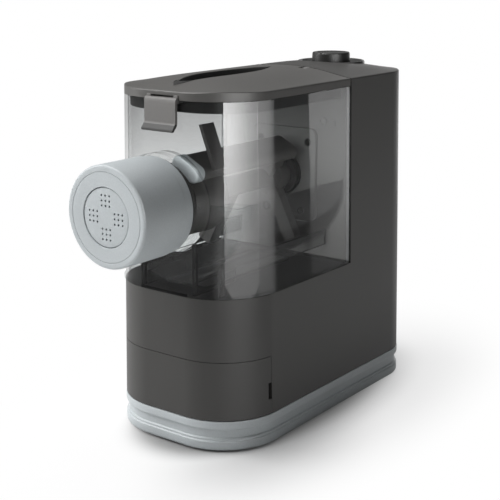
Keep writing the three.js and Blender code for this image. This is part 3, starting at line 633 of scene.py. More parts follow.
def brushed(name, slot, colour):
    """Steel with fine lines along the axis of the drive."""
    finish = Finish(name, slot)
    lines = finish.noise(900, 3, finish.place(1, 0.03, 1))
    wear = finish.noise(40, 3)
    return finish.set(
        Base_Color=finish.mix(wear.between(0.35, 0.75), shade(colour, 0.8), shade(colour, 1.15)),
        Metallic=1.0,
        Roughness=0.24 + lines * 0.16 + (wear - 0.5) * 0.1,
        Normal=finish.bump(lines, 0.3, 0.01 * MM))


def milky(name, slot, colour):
    """Nylon of the gear wheels, faintly mottled and greasy."""
    finish = Finish(name, slot)
    grease = finish.noise(110, 4).between(0.45, 0.75)
    mottle = finish.noise(420, 2)
    return finish.set(
        Base_Color=finish.mix(grease, shade(colour), shade(colour, 0.72)),
        Roughness=0.5 - grease * 0.22 + (mottle - 0.5) * 0.1,
        Subsurface_Weight=0.1,
        Subsurface_Radius=(0.002, 0.0015, 0.001),
        Normal=finish.bump(mottle, 0.2, 0.02 * MM))


def circuit(name, slot, colour):
    """Green board with copper tracks and tinned pads."""
    finish = Finish(name, slot)
    tracks = finish.value(
        "ShaderNodeTexBrick", {"offset": 0.4, "squash": 1.6},
        {"Vector": finish.place(), "Scale": 160, "Mortar Size": 0.035, "Row Height": 0.3}, output="Fac")
    pads = finish.value("ShaderNodeTexVoronoi", inputs={"Vector": finish.place(), "Scale": 210}, output="Distance")
    dots = 1 - pads.between(0.12, 0.18)
    green = finish.mix(tracks, shade(colour), shade(colour, 2.1))
    return finish.set(
        Base_Color=finish.mix(dots, green, (0.6, 0.58, 0.5, 1)),
        Roughness=0.35 + finish.noise(500) * 0.2,
        Metallic=dots * 0.8,
        Normal=finish.bump(tracks + dots, 0.4, 0.05 * MM))


def see_through(name, slot, colour, mirror, slant=0.6, painted_shade=0.0, corner=0.0):
    """Thin clear plastic. It mirrors and darkens more at a slant. It may also be darker towards its top, painted
    shade where the lid shades it, and mirror more at its rounded front corners."""
    finish = Finish(name, slot)
    facing = finish.value("ShaderNodeLayerWeight", inputs={"Blend": 0.5}, output="Facing")
    outside = 1 - finish.value("ShaderNodeNewGeometry", output="Backfacing")
    scuffs = finish.noise(700, 4, finish.place(1, 1, 0.2)).between(0.55, 0.9)
    x, y, height = finish.parts(finish.place())
    top = height.between(0.185, 0.262)
    rounded = (x * x).between(0.0016, 0.0021) * (y * -1).between(0.046, 0.056)
    finish.set(
        Base_Color=finish.mix(scuffs, (0.9, 0.91, 0.92, 1), (0.75, 0.76, 0.77, 1)),
        Roughness=0.4 + scuffs * 0.2)
    clear = finish.layer("BsdfTransparent", colour)
    layers = (
        # The height term darkens the wall towards its top: painted shade where the lid shades it.
        (facing ** 4.0 * 0.45 + top * painted_shade, finish.layer("BsdfTransparent", shade(colour, 0.4))),
        ((mirror + rounded * corner + facing ** 5.0 * slant) * outside, finish.layer("BsdfGlossy", Roughness=0.02)),
        (scuffs * 0.012, finish.shader))
    for share, above in layers:
        clear = finish.blend(share, clear, above)
    finish.surface(clear)
    return finish


FINISHES = {}


def make_finishes():
    tint = colours()
    FINISHES.update(
        body=moulded("body plastic", "body_grey", tint.body, 0.46),
        # The lid is the body's plastic made 1.7 times lighter: painted light for its brighter top and band.
        lid=moulded("lid plastic painted lighter", "body_grey", shade(tint.body, 1.7), 0.42, 0.8, 0.5),
        dark=moulded("dark plastic", "dark_plastic", tint.dark, 0.5),
        knob=moulded("knob plastic", "dark_plastic", tint.dark, 0.38, 0.5),
        pale=moulded("pale plastic", "pale_plastic", tint.pale, 0.4, 0.7),
        # The scraper pad is the pale plastic made 1.35 times lighter: painted light.
        pad=moulded("pad plastic painted lighter", "pale_plastic", shade(tint.pale, 1.35), 0.5),
        disc=moulded("disc plastic", "pale_plastic", tint.pale, 0.55, 2.2),
        middle=moulded("grey plastic", "mid_plastic", tint.middle, 0.45, 0.8),
        wall=see_through("clear wall", "clear_plastic", tint.clear, 0.015, 0.5, 0.27, 0.05),
        clear=see_through("clear trough", "clear_plastic", shade(tint.clear, 1.06), 0.015),
        base=see_through("clear floor", "clear_plastic", tint.clear, 0.004, 0.05),
        # A much darker clear tint for narrow faces and edges: painted shade for the dark look of clear plastic's
        # edges.
        edge=see_through("clear edge painted dark", "clear_plastic", shade(tint.clear, 0.2), 0.01, 0.1),
        # Opaque light grey for the clear wall's rear end faces: a painted highlight.
        glint=moulded("painted glint", "clear_plastic", (0.62, 0.63, 0.64), 0.3),
        # The inner finish is lighter than the body's plastic: painted light behind the clear walls.
        inner=moulded("inner plastic painted lighter", "body_grey", tint.inner, 0.5),
        rubber=rubbery("rubber", "rubber", tint.rubber),
        steel=brushed("steel", "steel", tint.steel),
        nylon=milky("gear nylon", "gear_nylon", tint.nylon),
        board=circuit("circuit board", "circuit_board", tint.board))


# Stage


class Light(Finish):
    """The nodes of the world or a lamp, built the same way as a finish."""

    def __init__(self, data, output):
        data.use_nodes = True
        self.tree = data.node_tree
        self.output = self.tree.nodes[output]


def make_camera(scene):
    data = bpy.data.cameras.new("camera")
    data.lens = LENS
    data.sensor_width = 36
    data.shift_x, data.shift_y = LENS_SHIFT
    camera = placed("camera", data)
    look = Euler((math.radians(CAMERA_TILT), 0, math.radians(CAMERA_HEADING))).to_matrix()
    roll = Matrix.Rotation(math.radians(CAMERA_ROLL), 3, "Z")
    camera.matrix_world = (look @ roll).to_4x4()
    camera.location = CAMERA_PLACE
    scene.camera = camera
    scene.view_settings.view_transform = "Standard"


def make_floor():
    """A pale floor that shines white to the camera, to mirrors and through the clear wall, and keeps the shadow.
    Near the base it carries painted light, most to the right, and a painted contact shadow.
    """
    shape = Shape()
    bmesh.ops.create_circle(shape.bm, cap_ends=True, segments=64, radius=14000)
    floor = placed("floor", shape.scale(MM, MM, MM).mesh("floor"))
    finish = Finish("floor", None)
    x, y, _ = finish.parts(finish.place())
    half_width, half_length, middle = 0.068, 0.129, 0.028
    across, along = x * (1 / half_width), (y - middle) * (1 / half_length)
    away = (across * across + along * along) ** 0.5
    side = x * 0.8 + (y - middle) * 0.6
    right, left = side.between(-0.02, 0.1), (side * -1).between(0.04, 0.11)
    # Near the base the floor glows more on its right and left sides: painted light that lifts the shadow there.
    # Further out it turns evenly white.
    glow = away.between(0.75, 1.6) * (0.04 + right * 0.7) + away.between(0.95, 1.25) * left * 0.8
    glow = glow + away.between(1.4, 2.6) * (1 - glow)
    camera, mirrored, through = finish.rays("Camera", "Glossy", "Transmission")
    seen = camera + mirrored * 0.35 + through
    # The darker diffuse just round the base is a painted contact shadow.
    painted_shade, soft = [finish.layer("BsdfDiffuse", [tone] * 3) for tone in (0.25, 0.86)]
    ground = finish.blend(away.between(1.04, 1.3), painted_shade, soft)
    finish.surface(finish.blend(seen * glow, ground, finish.layer("Emission", Strength=1)))
    floor.data.materials.append(finish.material)


def make_world(scene):
    """Soft light from all round, brighter to the left, and white where it is seen directly."""
    scene.world = bpy.data.worlds.new("studio")
    sky = Light(scene.world, "World Output")
    x, _, _ = sky.parts(sky.node("ShaderNodeTexCoord").outputs["Generated"])
    camera, through = sky.rays("Camera", "Transmission")
    dim, pale, white = [sky.layer("Background", Strength=power) for power in (0.03, 0.27, 1)]
    soft = sky.blend(0.5 - x * 0.5, dim, pale)
    sky.surface(sky.blend((camera + through).between(0, 1), soft, white))


def make_lamp(name, place, aim, size, power, lights=True, kept_to=None):
    """A softbox. Where it lights nothing it is only mirrored, and it may be kept to some of the pieces."""
    data = bpy.data.lights.new(name, "AREA")
    data.shape = "RECTANGLE"
    data.size, data.size_y = size
    data.energy = power
    lamp = placed(name, data)
    lamp.location = place
    lamp.rotation_mode = "QUATERNION"
    lamp.rotation_quaternion = (Vector(aim) - Vector(place)).to_track_quat("-Z", "Y")
    lamp.visible_camera = False
    lamp.visible_diffuse = lights
    if kept_to:
        lamp.light_linking.receiver_collection = kept_to
    return lamp


def make_reflection(name, place, aim, size, power, clear, low=1.0):
    """A softbox that only the clear wall mirrors. It falls off downwards and, to the share low, towards one side."""
    lamp = make_lamp(name, place, aim, size, power, False, clear)
    light = Light(lamp.data, "Light Output")
    across, up, _ = light.parts(light.node("ShaderNodeNewGeometry").outputs["Parametric"])
    full, weak, faint = [light.layer("Emission", Strength=share) for share in (1, low, 0.12)]
    light.surface(light.blend(up.between(0.05, 0.75), faint, light.blend(across.between(0, 1), full, weak)))


def gathered(name, *pieces):
    """The pieces that a lamp is kept to."""
    group = bpy.data.collections.new(name)
    for piece in pieces:
        group.objects.link(bpy.data.objects[piece])
    return group


def make_lamps():
    outer = gathered(
        "outer pieces", "body_shell", "drawer_face", "lid_top", "nut_ring", "base_band", "dial_cap", "latch_plate")
    inner = gathered("inner pieces", "tower_face", "hub_plate", "scraper_pad", "hub_coupling", "hub_ring")
    clear = gathered("clear pieces", "clear_chamber")
    make_lamp("key", (-0.85, -0.75, 1.8), (0, 0, 0.12), (1.5, 1.3), 44)
    make_lamp("top", (-0.3, 0.7, 1.65), (0, 0.05, 0.2), (1.3, 1.1), 6)
    make_lamp("left", (-1.7, -0.95, 0.7), (0, 0, 0.16), (1.1, 1.1), 13)
    make_lamp("rim", (-0.2, 0.95, 0.22), (0.067, 0.18, 0.15), (0.5, 0.5), 1.5, False)
    make_lamp("sheen", (0.9, -0.45, 0.45), (0.03, -0.06, 0.15), (0.9, 0.8), 14, False, outer)
    make_lamp("inside", (0.1, -0.95, 0.4), (0, 0.02, 0.2), (0.6, 0.4), 11, True, inner)
    make_reflection("corner", (0.465, -0.206, 0.135), (0.055, -0.096, 0.135), (0.56, 0.27), 4.6, clear, 0.32)
    make_reflection("turn", (0.325, 0.139, 0.13), (0.06, 0.089, 0.13), (0.268, 0.26), 0.5, clear, 0.5)
    make_reflection("haze", (0.3, 0.419, 0.13), (0.065, 0.058, 0.18), (0.088, 0.26), 0.35, clear)


# Operators


class PASTA_OT_base(bpy.types.Operator):
    """Base ring with its groove, floor plate, feet and screws."""

    bl_idname = "pasta.base"
    bl_label = "Base"

    def execute(self, context):
        stack([
            (-4.5, 1.5), (-0.9, 1.5), (-0.2, 1.8), (0.25, 2.6), (0.3, 3.4), (0.3, 7.4), (0.1, 8.3), (-0.4, 8.7),
            (-0.7, 9.2), (-0.7, 10.3), (-1.1, 10.7), (-1.7, 11.2), (-1.7, 17.2), (-1.2, 17.9), (-0.4, 18.1),
            (0.05, 18.4), (0.3, 19.2), (0.3, 23.4), (0.05, 24.3), (-0.5, 24.6), (-4.5, 24.6)], ends="ring").piece(
                "base_band", "body", "pale", "base_ring", angle=30)
        self.floor_plate()
        for i, (x, y) in enumerate(FEET, 1):
            upright([
                (0, 0.5), (5.2, 0.5), (5.6, 0), (7.2, 0), (8.0, 0.4), (8.4, 1.2), (8.4, 5.6), (2.9, 5.6), (2.9, 9.6),
                (0, 9.6)], x, y, steps=40).piece(f"rubber_foot_{i}", "body", "rubber", f"foot_{i}", angle=50)
        for i, (x, y) in enumerate(BASE_SCREWS, 1):
            screw = upright([
                (0, 4), (2.6, 4), (3.3, 4.4), (3.6, 5.1), (3.6, 5.6), (1.9, 5.6), (1.9, 16), (0, 16)], x, y, steps=32)
            screw.cut(cross(block, x, y, 2, 3.5, 4.9)).piece(
                f"cross_base_screw_{i}", "body", "steel", f"base_screw_{i}")
        return {"FINISHED"}

    def floor_plate(self):
        vents = [block(-22, 22, y, y + 3, 5, 10, 1.4) for y in (52, 60, 68, 76, 84)]
        seats = [post(3.3, 5, 10, x, y, 32) for x, y in FEET]
        holes = [post(2.3, 5, 10, x, y) for x, y in BASE_SCREWS]
        plate = plan(-5, 5.9).raised(z=3).cut(together(*vents, *seats, *holes)).soften(0.3, 1, 60)
        plate.join(abreast(block, (-30, -10, 10, 30), 0.8, -70, 30, 4.9, 6, soft=0.2))
        plate.piece("floor_panel", "body", "dark", "base_plate")


class PASTA_OT_housing(bpy.types.Operator):
    """The moulded body: low sides, deck, tower, domed roof and rear vents."""

    bl_idname = "pasta.housing"
    bl_label = "Housing"

    def execute(self, context):
        shape = domed([(0, RING_TOP + 0.3), (0, DECK)])
        drawer_gap = DRAWER_TOP + 0.4
        for axis, value in (("y", TOWER), ("y", DRAWER_SPLIT), ("z", drawer_gap)):
            shape.slice(axis, value)
        shape.drop(lambda p: p.y < TOWER and p.z > DECK)
        shape.drop(lambda p: p.y < DRAWER_SPLIT and p.z < drawer_gap)
        self.close_flat(shape, DECK, TOWER)
        self.close_flat(shape, drawer_gap, DRAWER_SPLIT)
        shape = shape.face_out().thicken(sizes().shell)
        shape.soften(0.5, 3, 50, lambda e: all(abs(v.co.z - DECK) < 0.01 for v in e.verts))
        shape = shape.cut(self.rear_openings(), post(BEZEL_RADIUS + 0.5, 240, 300, 0, DIAL_Y, SMOOTH))
        # The deck's top faces take the dark finish: painted shade on the body's plastic, where the chamber and lid
        # shade the deck.
        shape.marked(lambda face: face.normal.z > 0.9 and abs(face.calc_center_median().z - DECK) < 0.2)
        shape.piece("body_shell", "body", "body", "housing", angle=32, more=["dark"])
        return {"FINISHED"}

    def close_flat(self, shape, height, end):
        """Closes the walls that end at a height with a flat face, as far back as they are cut."""
        edges = wall_edges(shape, height, lambda p: p.y < end + 0.01)
        ends = [v for e in edges for v in e.verts if sum(w in edges for w in v.link_edges) == 1]
        closing = bmesh.ops.contextual_create(shape.bm, geom=list(dict.fromkeys(ends)))["edges"]
        bmesh.ops.contextual_create(shape.bm, geom=edges + closing)

    def rear_openings(self):
        wall = REAR - 12, REAR + 5
        half = sizes().vent_width / 2
        vents = abreast(
            standing, [(i - 4) * 5.2 for i in range(9)], half, 96, 132, *wall, radius=half * 0.98, steps=6)
        return vents.join(standing(-13, 13, 37, 55, *wall, 3))


class PASTA_OT_tower_wall(bpy.types.Operator):
    """The wall behind the chamber with its raised plate, hinge lugs, boss and screws."""

    bl_idname = "pasta.tower_wall"
    bl_label = "Tower wall"

    def execute(self, context):
        low, high = [narrowed(HALF_WIDTH - 3.3, z) for z in (DECK, 264)]
        outline = (
            (-low, DECK - 2.7), (low, DECK - 2.7), (high, 264), (35, 268.6), (0, 270), (-35, 268.6), (-high, 264))
        wall = profile_face([(x, TOWER + 0.3, z) for x, z in outline]).raised(y=3.3)
        holes = together(
            bore(17, TOWER - 12, TOWER + 6), *[bore(2.2, TOWER - 6, TOWER + 6, x, z, 24) for x, z in PLATE_SCREWS])
        groove = standing(-32, 32, 146, 224.5, TOWER - 1, TOWER + 1.8, PLATE_ROUND + 1)
        groove = groove.cut(standing(*PLATE, TOWER - 2, TOWER + 3, PLATE_ROUND))
        wall = wall.cut(holes).soften(0.4, 2, 50).cut(groove)
        boss = [(0, 0.4), (3.4, 0.4), (3.4, -0.4), (2.9, -0.9), (2.2, -0.9), (2.0, -0.5), (0, -0.5)]
        key = standing(43.2, 48.6, 227, 232, TOWER - 0.5, TOWER + 0.5, 1, 0.15)
        wall.join(turned(boss, 37.4, TOWER, 230.7, 40), key, self.lug(-HINGE_X), self.lug(HINGE_X))
        wall.piece("tower_face", "body", "inner", "tower_wall")
        plate = standing(*PLATE, TOWER - 1.2, TOWER, PLATE_ROUND).cut(holes)
        plate.soften(0.35, 2, 60).piece("hub_plate", "body", "inner", "coupling_plate")
        for i, (x, z) in enumerate(PLATE_SCREWS, 1):
            seat = TOWER - 1.5
            screw = turned([
                (0, -1.1), (2.4, -1.1), (2.9, -0.8), (3.1, -0.2), (3.1, 0), (1.8, 0), (1.8, 8), (0, 8)],
                x, seat, z, 32)
            screw.cut(cross(standing, x, z, 1.7, seat - 2, seat - 0.5)).piece(
                f"dark_screw_{i}", "body", "dark", f"plate_screw_{i}")
        return {"FINISHED"}

    def lug(self, x):
        face = profile_face([(x - 3, y, z) for y, z in (
            (TOWER + 0.6, 262), (TOWER + 0.6, 257), (22.4, 267.4), (21.3, 269.8), (21.8, 271.8),
            (TOWER - 0.5, 272.4), (TOWER - 0.5, 268), (TOWER + 0.6, 268))])
        return face.raised(x=6).soften(0.5, 2, 30).cut(crossbar(1.35, 5, x, HINGE_Y, HINGE_Z))


class PASTA_OT_inlet(bpy.types.Operator):
    """Power inlet with its two pins."""

    bl_idname = "pasta.inlet"
    bl_label = "Power inlet"

    def execute(self, context):
        body = standing(-12.7, 12.7, 37.3, 54.7, REAR - 19, REAR - 0.6, 3)
        flange = standing(-16, 16, 34, 58, REAR - 7, REAR - 4, 1.5)
        mouth = standing(-10, 10, 40, 52, REAR - 16, REAR + 2, 4.5)
        bores = [bore(1.6, REAR - 21, REAR - 10, x, INLET_Z, 24) for x in INLET_PINS.values()]
        shape = body.union(flange).cut(mouth, *bores).soften(0.4, 2, 60)
        shape.piece("inlet_block", "body", "dark", "power_inlet")
        for side, x in INLET_PINS.items():
            pin = [(0, -22), (1.2, -22), (1.2, -5.6), (1.0, -4.9), (0.5, -4.5), (0, -4.4)]
            turned(pin, x, REAR, INLET_Z, 24).piece(f"contact_{side}", "body", "steel", f"inlet_pin_{side}")
        return {"FINISHED"}


class PASTA_OT_chamber(bpy.types.Operator):
    """The clear mixing chamber: outer wall, trough, ribs, floor, rear wall and collar."""

    bl_idname = "pasta.chamber"
    bl_label = "Clear chamber"
    # Places, among the chamber's finishes, of the floor's finish and of the painted highlight on the wall's rear end
    # faces.
    floor_mark, end_mark = 2, 3

    def execute(self, context):
        low = DECK + 0.3
        shape = stack([(0, low), (0, LID_LOW - 0.3)]).lean().slice("y", WALL_END, trim=True)
        shape = shape.thicken(sizes().clear_wall).union(bore(37.4, -129, -114, steps=SMOOTH))
        latch_room = block(-15.4, 15.4, -130, -108, 253, 300)
        shape = shape.cut(bore(BARREL_RADIUS + 0.5, -140, -107.9, steps=SMOOTH), latch_room)
        # The wall's rear end faces take the light grey finish: a painted highlight.
        shape.marked(lambda face: face.normal.y > 0.9 and face.calc_center_median().y > WALL_END - 0.5, self.end_mark)
        shape.join(self.floor(low), self.rib(41, -110, -104, low, 138.2))
        for x in (-25, 25):
            shape.join(self.rib(x, -118, -70, low, 128.1), self.rib(x, -119.5, -115.4, low, 157))
        shape.piece("clear_chamber", "body", "wall", "mixing_chamber", angle=30, more=["edge", "base", "glint"])
        self.trough()
        return {"FINISHED"}

    def floor(self, low):
        floor = plan(-1, low).slice("y", WALL_END, trim=True).raised(z=2)
        floor = floor.cut(block(-21, 21, -100, 10, DECK - 5, DECK + 10, 4))
        floor.marked(lambda face: True, self.floor_mark)
        # The sides of the floor's opening take the darker clear finish: painted shade for dark clear edges.
        return floor.marked(lambda face: abs(face.normal.z) < 0.5 and abs(face.calc_center_median().x) < 22)

    def rib(self, x, y0, y1, z0, z1):
        """A thin standing rib whose narrow faces take a darker clear finish: painted shade for the dark look of clear
        plastic's edges.
        """
        return block(x - 1, x + 1, y0, y1, z0, z1).marked(lambda face: abs(face.normal.x) < 0.5)

    def trough(self):
        shell = self.section(TROUGH_RADIUS + 1.6, -115, WALL_END, 187)
        shell = shell.cut(self.section(TROUGH_RADIUS, -113, TROUGH_REAR, 300))
        low, high = [narrowed(HALF_WIDTH, z) - 2.8 for z in (AXIS, 259.8)]
        corners = ((-low, AXIS), (low, AXIS), (high, 259.8), (-high, 259.8))
        shape = shell.union(profile_face([(x, TROUGH_REAR, z) for x, z in corners]).raised(y=2.4))
        shape = shape.cut(bore(37.7, -140, -112, steps=SMOOTH), bore(17.3, 15, 35))
        shape.join(*[self.rib(x, -110, 26, 131, 143.6) for x in (-43, 43)])
        shape.piece("clear_trough", "body", "clear", "mixing_trough", angle=30, more=["edge"])

    def section(self, radius, y0, y1, rim):
        """Round below the axis and straight above it, carried along Y."""
        upper = block(-radius - 1, radius + 1, y0 - 1, y1 + 1, AXIS, AXIS + 80)
        return bore(radius, y0, y1, steps=SMOOTH).cut(upper).union(block(-radius, radius, y0, y1, AXIS - 0.5, rim))


class PASTA_OT_barrel(bpy.types.Operator):
    """Extruder barrel and the rubber seals."""

    bl_idname = "pasta.barrel"
    bl_label = "Barrel and seals"

    def execute(self, context):
        turned([
            (BARREL_BORE, -170), (29.2, -170), (29.6, -169.6), (29.6, -157), (BARREL_RADIUS, -156), (32.4, -154),
            (32.4, -144), (BARREL_RADIUS, -142), (BARREL_RADIUS, -122), (BARREL_BORE, -122),
            (BARREL_BORE, -170)]).soften(0.3).piece("barrel", "body", "middle", "extruder_barrel")
        for name, body, node, width, *ring in (
                ("barrel_ring", "body", "barrel_seal", 0.35, 31.3, 35, -130.5, -129.3),
                ("disc_ring", "disc", "disc_seal", 0.6, 22, 28.2, -173, -170.3),
                ("hub_ring", "body", "hub_seal", 0.7, 12, 16.8, 21.1, 26.3)):
            turned(tube(*ring)).soften(width, 3).piece(name, body, "rubber", node)
        return {"FINISHED"}


class PASTA_OT_disc(bpy.types.Operator):
    """Shaping disc with four groups of nine holes."""

    bl_idname = "pasta.disc"
    bl_label = "Shaping disc"

    def execute(self, context):
        face = NUT_FACE + 0.4
        disc = turned([
            (0, 0), (20.3, 0), (20.9, 0.5), (20.9, 3.9), (DISC_RADIUS, 3.9), (DISC_RADIUS, 8), (19, 8), (19, 4.1),
            (0, 4.1)], y=face, steps=SMOOTH)
        pitch, radius = sizes().hole_pitch, sizes().hole_radius
        disc.cut(together(*[
            bore(radius, face - 1, face + 9, x + column * pitch, AXIS + z + row * pitch, 14)
            for x, z in ((11.8, 0), (-11.8, 0), (0, 11.8), (0, -11.8))
            for column in (-1, 0, 1) for row in (-1, 0, 1)])).piece(
                "pasta_disc", "disc", "disc", "shaping_disc", angle=40)
        return {"FINISHED"}


class PASTA_OT_nut(bpy.types.Operator):
    """The ring that screws the disc onto the barrel."""

    bl_idname = "pasta.nut"
    bl_label = "Front nut"

    def execute(self, context):
        turned([
            (FACE_OPENING, 0.3), (FACE_OPENING + 0.3, 0), (31.4, 0), (31.65, 0.15), (31.7, 0.55), (31.9, 0.55),
            (31.95, 0.15), (32.2, 0), (34.9, 0), (35.7, 0.25), (36.3, 0.8), (NUT_RADIUS, 1.7), (NUT_RADIUS, 42.1),
            (36.45, 42.6), (36.05, 42.95), (35.9, 43.4), (35.9, 50.1), (35.6, 50.7), (35, NUT_LENGTH),
            (33.2, NUT_LENGTH), (33.2, 10), (29.2, 8.5), (29.2, 4), (FACE_OPENING, 4), (FACE_OPENING, 0.3)],
            y=NUT_FACE, steps=128).piece("nut_ring", "nut", "pale", "front_nut", angle=48)
        return {"FINISHED"}


class PASTA_OT_auger(bpy.types.Operator):
    """The screw that pushes the dough to the disc."""

    bl_idname = "pasta.auger"
    bl_label = "Auger"

    def execute(self, context):
        start, travel, pitch, steps = -165.8, 40.6, 26, 90
        core = turned([(3.6, -168), (7.4, -168), (8, -167.4), (8, -123), (3.6, -123), (3.6, -168)], steps=48)
        flight = profile_face([(radius, start + y, AXIS) for radius, y in (
            (7.5, -2.2), (25.2, -1.4), (25.6, -1.0), (25.6, 1.0), (25.2, 1.4), (7.5, 2.2))])
        bmesh.ops.spin(
            flight.bm, geom=flight.everything(), cent=(0, 0, AXIS), axis=(0, 1, 0), dvec=(0, travel / steps, 0),
            angle=travel / pitch * 2 * math.pi, steps=steps, use_merge=False, use_duplicate=False)
        core.join(flight.clean()).piece("dough_screw", "drive", "middle", "auger_screw")
        return {"FINISHED"}


class PASTA_OT_paddle(bpy.types.Operator):
    """Mixing paddle with its drum, long bar, arms and scraper."""

    bl_idname = "pasta.paddle"
    bl_label = "Paddle"
    angle = 1.08

    def execute(self, context):
        drum = turned([
            (0, -119), (5.2, -119), (5.6, -118.6), (5.6, -117.8), (25.4, -117), (26.4, -116.2), (26.8, -114),
            (28, -84), (27.6, -81.6), (24, -76), (8.9, -64.5), (8.2, -62), (8, 2), (14.2, 5.6), (14.6, 6.4),
            (14.6, 11.6), (14.2, 12.2), (11.6, 13), (11.6, 24.5), (9, 25), (9, 30.1), (0, 30.1)])
        shape = drum.cut(self.bar(-118, -104, 1.1))
        shape.join(bore(3, -140, -118, steps=32), self.bar(-104, 12, 0, 0.8))
        for where in (
                (self.angle, 6, 26, -4, 10, 12), (-1.12, 6, 54, 4, 13, 11),
                (self.angle + math.pi, 6, 52, -48, -36, 12), (3.5, 20, 54, -98, -88, 11)):
            shape.join(self.arm(*where))
        blade = profile_face([(29.6, -98, 24), (26.4, -98, 22.6), (13.8, -98, 55.2), (16.9, -98, 56)])
        shape.join(blade.raised(y=14).soften(0.5, 3, 50).move(z=AXIS))
        shape.piece("mixer", "drive", "middle", "mixing_paddle")
        self.bar(-113.4, -104.3, 0.8, 1.6, 4).piece("scraper_pad", "drive", "pad", "paddle_scraper")
        return {"FINISHED"}

    def bar(self, y0, y1, growth, soft=0, segments=3):
        """A stretch of the long bar or of the pad at its end, wider by a growth."""
        low, high, half = 22.5 - growth, 33.5 + growth, 12.5 + growth
        shape = standing(low, high, -half, half, y0, y1, (high - low) / 2 - 0.1, steps=10)
        if soft:
            shape.soften(soft, segments, 60)
        return shape.move(z=AXIS).turn(-self.angle, centre=(0, 0, AXIS))

    def arm(self, angle, r0, r1, y0, y1, thickness):
        """A flat arm from one radius to another, with its outer corners rounded."""
        def corner(edge):
            first, second = [v.co for v in edge.verts]
            return min(first.x, second.x) > r1 - 0.1 and abs(first.y - second.y) > 1

        shape = standing(r0, r1, -thickness / 2, thickness / 2, y0, y1).soften(2.2, 4, 40, corner)
        return shape.soften(0.6, 2, 60).move(z=AXIS).turn(-angle, centre=(0, 0, AXIS))


class PASTA_OT_coupling(bpy.types.Operator):
    """Steel coupling in the tower's hub."""

    bl_idname = "pasta.coupling"
    bl_label = "Coupling"

    def execute(self, context):
        turned([
            (9.4, 27.9), (12.8, 27.9), (13.4, 28.5), (13.4, 37), (6, 37), (6, 71.6), (0, 71.6), (0, 31.4),
            (9.4, 31.4), (9.4, 27.9)], steps=64).piece("hub_coupling", "drive", "steel", "drive_coupling")
        return {"FINISHED"}


class PASTA_OT_dial(bpy.types.Operator):
    """Dial knob and its dish."""

    bl_idname = "pasta.dial"
    bl_label = "Dial"

    def execute(self, context):
        upright([
            (4.4, 266.6), (27.2, 266.6), (27.2, 262.5), (BEZEL_RADIUS, 262.5), (BEZEL_RADIUS, 271), (28.45, 271.7),
            (27.9, 272.3), (27.2, 272.4), (26.4, 272.3), (25, 271.3), (23.6, 270.5), (21.6, 270.25),
            (17.7, 270.2), (17.4, 269.9), (17.4, 268.6), (4.4, 268.6), (4.4, 266.6)], y=DIAL_Y, steps=SMOOTH).piece(
                "dial_dish", "body", "knob", "dial_bezel", angle=50)
        knob = upright([
            (0, -10.1), (15.3, -10.1), (16, -9.8), (DIAL_RADIUS, -9.1), (16.05, -1.5), (15.8, -0.6), (15.2, -0.1),
            (14.6, 0), (13.8, -0.1), (12.9, -0.5), (11.6, -0.8), (0, -1.1)], 0, DIAL_Y, DIAL_TOP, SMOOTH)
        pointer = block(-0.9, 0.9, DIAL_Y - 15.9, DIAL_Y - 6, DIAL_TOP - 1.7, DIAL_TOP + 2, 0.85)
        knob.cut(pointer).piece("dial_cap", "dial", "knob", "dial_knob", angle=40)
        return {"FINISHED"}


class PASTA_OT_drawer(bpy.types.Operator):
    """Drawer front, tray and the bay it runs in."""

    bl_idname = "pasta.drawer"
    bl_label = "Drawer"

    def execute(self, context):
        nose = stack([(0, DRAWER_LOW), (0, DRAWER_TOP)]).lean().slice("y", DRAWER_SPLIT - 0.3, trim=True)
        grip = block(60, 80, -83.6, -79, 36.5, 49.5, 1.2)
        nose = nose.thicken(3).cut(grip).soften(0.35, 2, 60)
        nose.join(block(-42.5, 42.5, -115, -112.3, DRAWER_FLOOR, 62, soft=0.4))
        nose.join(abreast(ridge, (-25, 25), 1.2, -121.6, -114, 25.3, 62))
        nose.piece("drawer_face", "drawer", "body", "drawer_front", angle=32)
        outside = block(-50, 50, -112, 16, DRAWER_LOW, 60, 10, steps=12)
        tray = outside.cut(block(-48, 48, -110, 14, DRAWER_FLOOR, 70, 8, steps=12)).soften(0.5, 2, 60)
        tray.join(ridge(-49, 49, -48.8, -47.2, 27, 40)).piece("tray", "drawer", "body", "drawer_tray")
        bay = block(-58.8, 58.8, -79.6, 22, 22.8, 69).cut(block(-57, 57, -85, 20.2, 24.8, 67.2))
        bay.join(*[abreast(ridge, (-50, 50), 2, y, y + 4, 9.2, 23) for y in (-77.6, 8)])
        bay.soften(0.3, 2, 60).piece("bay", "body", "dark", "drawer_bay")
        return {"FINISHED"}


class PASTA_OT_stored(bpy.types.Operator):
    """Spare discs and the cleaning tool in the drawer."""

    bl_idname = "pasta.stored"
    bl_label = "Stored discs and tool"

    def execute(self, context):
        low = DRAWER_FLOOR + 0.3
        for i, (x, y) in enumerate(((-18, -18), (16, -78.5)), 1):
            disc = upright([
                (0, 0), (28.2, 0), (28.6, 0.4), (28.6, 3.7), (28.2, 4.1), (20.9, 4.1), (20.9, 7.6), (20.5, 8),
                (0, 8)], x, y, low)
            slots = [block(x - 10, x + 10, y + k - 1, y + k + 1, low - 1, low + 9, 0.98) for k in (-8, 0, 8)]
            disc.cut(together(*slots)).piece(f"stored_disc_{i}", "drawer", "disc", f"spare_disc_{i}")
        tool = block(22, 34, -38, 10, low, low + 4, 5, 0.6)
        pitch = sizes().hole_pitch
        tool.join(abreast(block, (28 - pitch, 28, 28 + pitch), 0.6, -45, -34, low + 1, low + 3, soft=0.2))
        tool.piece("disc_cleaner", "drawer", "pale", "cleaning_tool")
        return {"FINISHED"}


